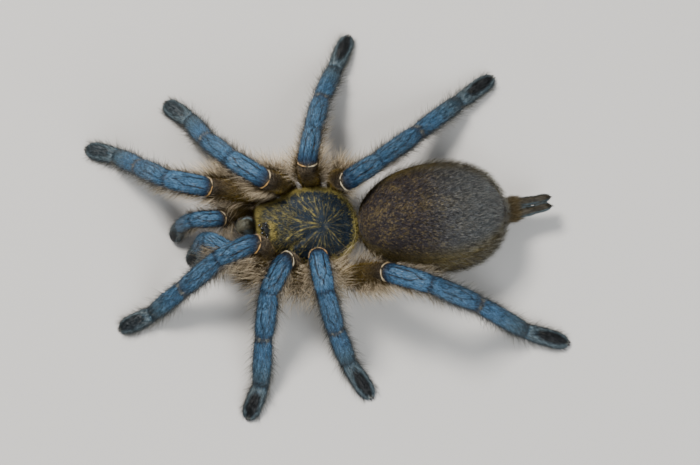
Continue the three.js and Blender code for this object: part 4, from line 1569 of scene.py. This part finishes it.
# %% [markdown]
# ## The coat of the legs
#
# The velvet from the knee to the foot is short and lies flat. Bristles stand out of it here and there, and
# fringes of longer hair stand off along the sides and the underside. Coxae and femora wear a longer golden
# coat, with fans of pale hair on all sides but the back that fill the spaces between the legs.

# %% Comb the legs
WIDE_FANS = ("leg1_left", "leg2_left", "leg3_left")


def between(along, low, high):
    return (along > low) * (along < high)


def below(angle, start, full):
    """0 on the back of the limb, 1 from the given height downwards."""
    return soft_step(-np.cos(angle), -start, -full)


def comb_limb(name):
    """The whole coat of one limb, layer by layer."""
    small = 0.75 if name.startswith("palp") else 1.0
    reach = 8.8 if name in WIDE_FANS else 6.8
    batches = []

    def style(density, length, *shape, **more):
        """Add one layer of hair, with the numbers that grow() takes."""
        batch = grow(plant(grids[name], density), length, *shape, **more)
        batch["pad"] = PALE_FEET.get(name, 1.0)
        batches.append(clear_of_plate(batch, name) if length[1] > LONG_HAIR else batch)

    # velvet, soles and bristles
    style(lambda along, angle: 34 * between(along, 2.01, 5.92),
          (0.45, 0.85), 0.085, (8, 24), curl=0.4, scatter=13)
    style(lambda along, angle: 30 * (along > 5.1) * (np.cos(angle) < 0.25),
          (0.45, 0.8), 0.06, (25, 50), curl=0.3, wild=0.2)
    style(lambda along, angle: 2.0 * between(along, 2.1, 5.3),
          (0.9, 1.5), 0.045, (24, 44), rings=1, wild=0.5)

    # fringes along the sides and the underside
    style(lambda along, angle: 20.0 * between(along, 2.1, 5.85) * below(angle, 0.60, 0.1),
          (0.8 * small, 2.1 * small), 0.045, (26, 56), rings=1, wild=0.8, scatter=18)
    style(lambda along, angle: 5.0 * between(along, 2.1, 5.2) * below(angle, 0.35, -0.1),
          (2.0 * small, 3.6 * small), 0.045, (36, 62), curl=0.45, rings=1, wild=1.0, scatter=22)
    style(lambda along, angle: 9.0 * between(along, 2.0, 3.3) * below(angle, 0.35, -0.1),
          (1.8 * small, 0.55 * reach * small), 0.05, (34, 62), curl=0.45, rings=1, wild=1.0, scatter=26)

    # the coat of coxa and femur, two bands at the knee, the brush under the coxa and the fans
    style(lambda along, angle: 24 * between(along, 0.1, 1.9),
          (0.8 * small, 1.4 * small), 0.085, (14, 34), curl=0.4, scatter=20)
    style(lambda along, angle: 45 * between(along, 1.55, 1.99),
          (0.6, 1.1), 0.065, (10, 30), curl=0.4, scatter=20, wild=0.25)
    style(lambda along, angle: 60 * between(along, 1.98, 2.15),
          (0.3, 0.6), 0.065, (10, 26), curl=0.4, scatter=16)
    style(lambda along, angle: 24 * between(along, 0.0, 1.0) * below(angle, 0.9, 0.3),
          (1.4, 2.8), 0.06, (25, 65), curl=0.35, rings=1, scatter=40, wild=0.4)
    style(lambda along, angle: 36 * soft_step(along, 0.85, 1.4) * (along < 1.93) * below(angle, 0.68, 0.15),
          (2.6 * small, reach * small), 0.055, (24, 58), curl=0.4, rings=1, scatter=26, wild=1.0)
    coat_piece(f"coat_{name}", batches, hairs["leg_hair"])


for name in limbs:
    comb_limb(name)

# %% [markdown]
# ## Fluff between the coxae
#
# Seen from above no gap opens between the carapace and the legs: the soft trunk and the waist are covered in
# fluff that stands out sideways from under the plate. Without it daylight would show there.

# %% Comb the trunk and waist
grids["trunk"]["lie"] = unit((grids["trunk"]["points"] - trunk_middle) * (1.0, 1.0, 0.0))
batches = [
    grow(plant(grids["trunk"], lambda along, angle: 28 * (np.cos(angle) > -0.5) * (along > 0.36)),
         (1.6, 3.6), 0.06, (0, 40), 0.3, 1, 25, 0.3),
    grow(plant(grids["waist"], lambda along, angle: 45 + 0 * along),
         (1.2, 3.2), 0.055, (50, 88), 0.3, 1, 40, 0.15),
]
for chart, batch in enumerate(batches):
    batch["chart"] = chart
    batch["roots"]["along"] = 0 * batch["roots"]["along"]    # coloured like a coxa
    tip = batch["corners"][:, -1]
    keep(batch, ~(over_the_plate(tip, -0.1) & (tip[:, 2] > rim - 0.6)))
coat_piece("coat_trunk", batches, hairs["leg_hair"], charts=2)

# %% [markdown]
# ## The coat of the abdomen
#
# The abdomen's velvet lies backwards. Towards the rear and on the flanks longer, finer hairs with pale tips
# stand off and make the soft halo round its outline.

# %% Comb the abdomen
grid = grids["abdomen"]
velvet = grow(plant(grid, lambda along, angle: 28 + 16 * (np.cos(angle) > 0)),
              (0.4, 0.75), 0.065, (14, 30), 0.4, 0, 16)
halo = grow(plant(grid, lambda along, angle: 7 * soft_step(along, 0.35, 0.8) + 6 * (np.cos(angle) < 0.35)),
            (1.1, 2.4), 0.045, (24, 48), 0.4, 1, 16, 0.75)
coat_piece("coat_abdomen", [velvet], hairs["abdomen_hair"])
coat_piece("coat_abdomen_halo", [halo], hairs["abdomen_hair"])

# %% [markdown]
# ## The coat of the carapace and head
#
# Short hairs lie outwards along the rays. The margin carries a cream fringe, longer hairs stand on the head,
# and two bright tufts stand behind the eyes.

# %% Comb the carapace
add_grid("carapace", "carapace", shell_grid[:CARAPACE_ROWS], plate_share, plate_angle)
plate = grids.pop("carapace")
plate["normals"] *= np.sign(plate["normals"][..., 2:3].mean())
plate.update(gold=gold, margin=margin, knob=knob, layer=PLATE_LAYER)
plate.update(length=margin * outline[None], radius=np.full(margin.shape, PLATE_RADIUS))
hairy = 1 - soft_step(knob, 0.1, 0.5)[:-1]      # 0 on the bare knob of the eyes
behind_eyes = knob_middle + (0, 1.75, 0)


def beside_eyes(side):
    """Where one of the two bright tufts behind the eyes stands: 1 in its middle."""
    away = levelled(plate["points"][:-1])[..., :2] - (behind_eyes + (side * 0.75, 0, 0))[:2]
    return np.exp(-(np.linalg.norm(away, axis=-1) / 0.55) ** 2)


batches = [
    grow(plant(plate, lambda along, angle: 55 * hairy, False), (0.3, 0.55), 0.055, (8, 22), 0.4, 0, 16),
    grow(plant(plate, lambda along, angle: 38 * soft_step(along, 0.86, 0.96), False),
         (0.7, 1.5), 0.055, (0, 35), 0.4, 1, 24, 0.75),
    grow(plant(plate, lambda along, angle: 14 * hairy * (along > 0.4) * (np.cos(angle) > 0.86), False),
         (0.6, 1.1), 0.055, (18, 42), 0.5, 1, 25, 0.35),
    grow(plant(plate, lambda along, angle: 150 * hairy * (beside_eyes(RIGHT) + beside_eyes(LEFT)), False),
         (0.6, 1.1), 0.06, (40, 75), 0.4, 1, 25, 0.9),
]
coat_piece("coat_carapace", batches, hairs["shell_hair"])

# %% [markdown]
# ## The coat of the mouth parts and spinnerets
#
# The chelicerae bristle with dark hair that has golden tips, but for their bare patch, whose pale blue is
# painted sheen. The spinnerets have a thick golden brush round the root and fine pale hair on the fingers.

# %% Comb the chelicerae and spinnerets
def furry(along, angle):
    """0 on the bare patch of a chelicera and 1 round it."""
    patch = (np.abs(np.sin(angle)) > 0.6) * (np.cos(angle) > 0.15) * (along > 0.42) * (along < 0.80)
    return 1 - patch


def comb_pair(stem, layers):
    """The same layers of hair on the right and the left one, each with its own half of the map."""
    batches = []
    for chart, hand in enumerate(HANDS):
        for density, *shape in layers:
            batch = grow(plant(grids[f"{stem}_{hand}"], density), *shape)
            batch["chart"] = chart
            batches.append(batch)
    return batches


batches = comb_pair("chelicera", [
    (lambda along, angle: 40 * furry(along, angle), (0.35, 0.65), 0.06, (10, 26), 0.4, 0, 16),
    (lambda along, angle: 2.5 * furry(along, angle), (0.8, 1.5), 0.05, (20, 40), 0.3, 1, 22, 0.7),
])
coat_piece("coat_chelicerae", batches, hairs["mouth_hair"], charts=2)
batches = comb_pair("spinneret", [
    (lambda along, angle: 40 + 0 * along, (0.4, 0.7), 0.06, (10, 28), 0.4, 0, 14),
    (lambda along, angle: 36 * (along < 0.36), (0.9, 1.6), 0.06, (12, 40), 0.3, 1, 18, 0.3),
])
coat_piece("coat_spinnerets", batches, hairs["finger_hair"], charts=2)
print("triangles in the whole coat:", sum(triangle_counts))

# %% [markdown]
# ## The size of the solids
#
# The box of the solids is printed. The dressed spider may stand only a little proud of the solids.

# %% Print the size of the solids
print("solids ", in_mm(cad_box))
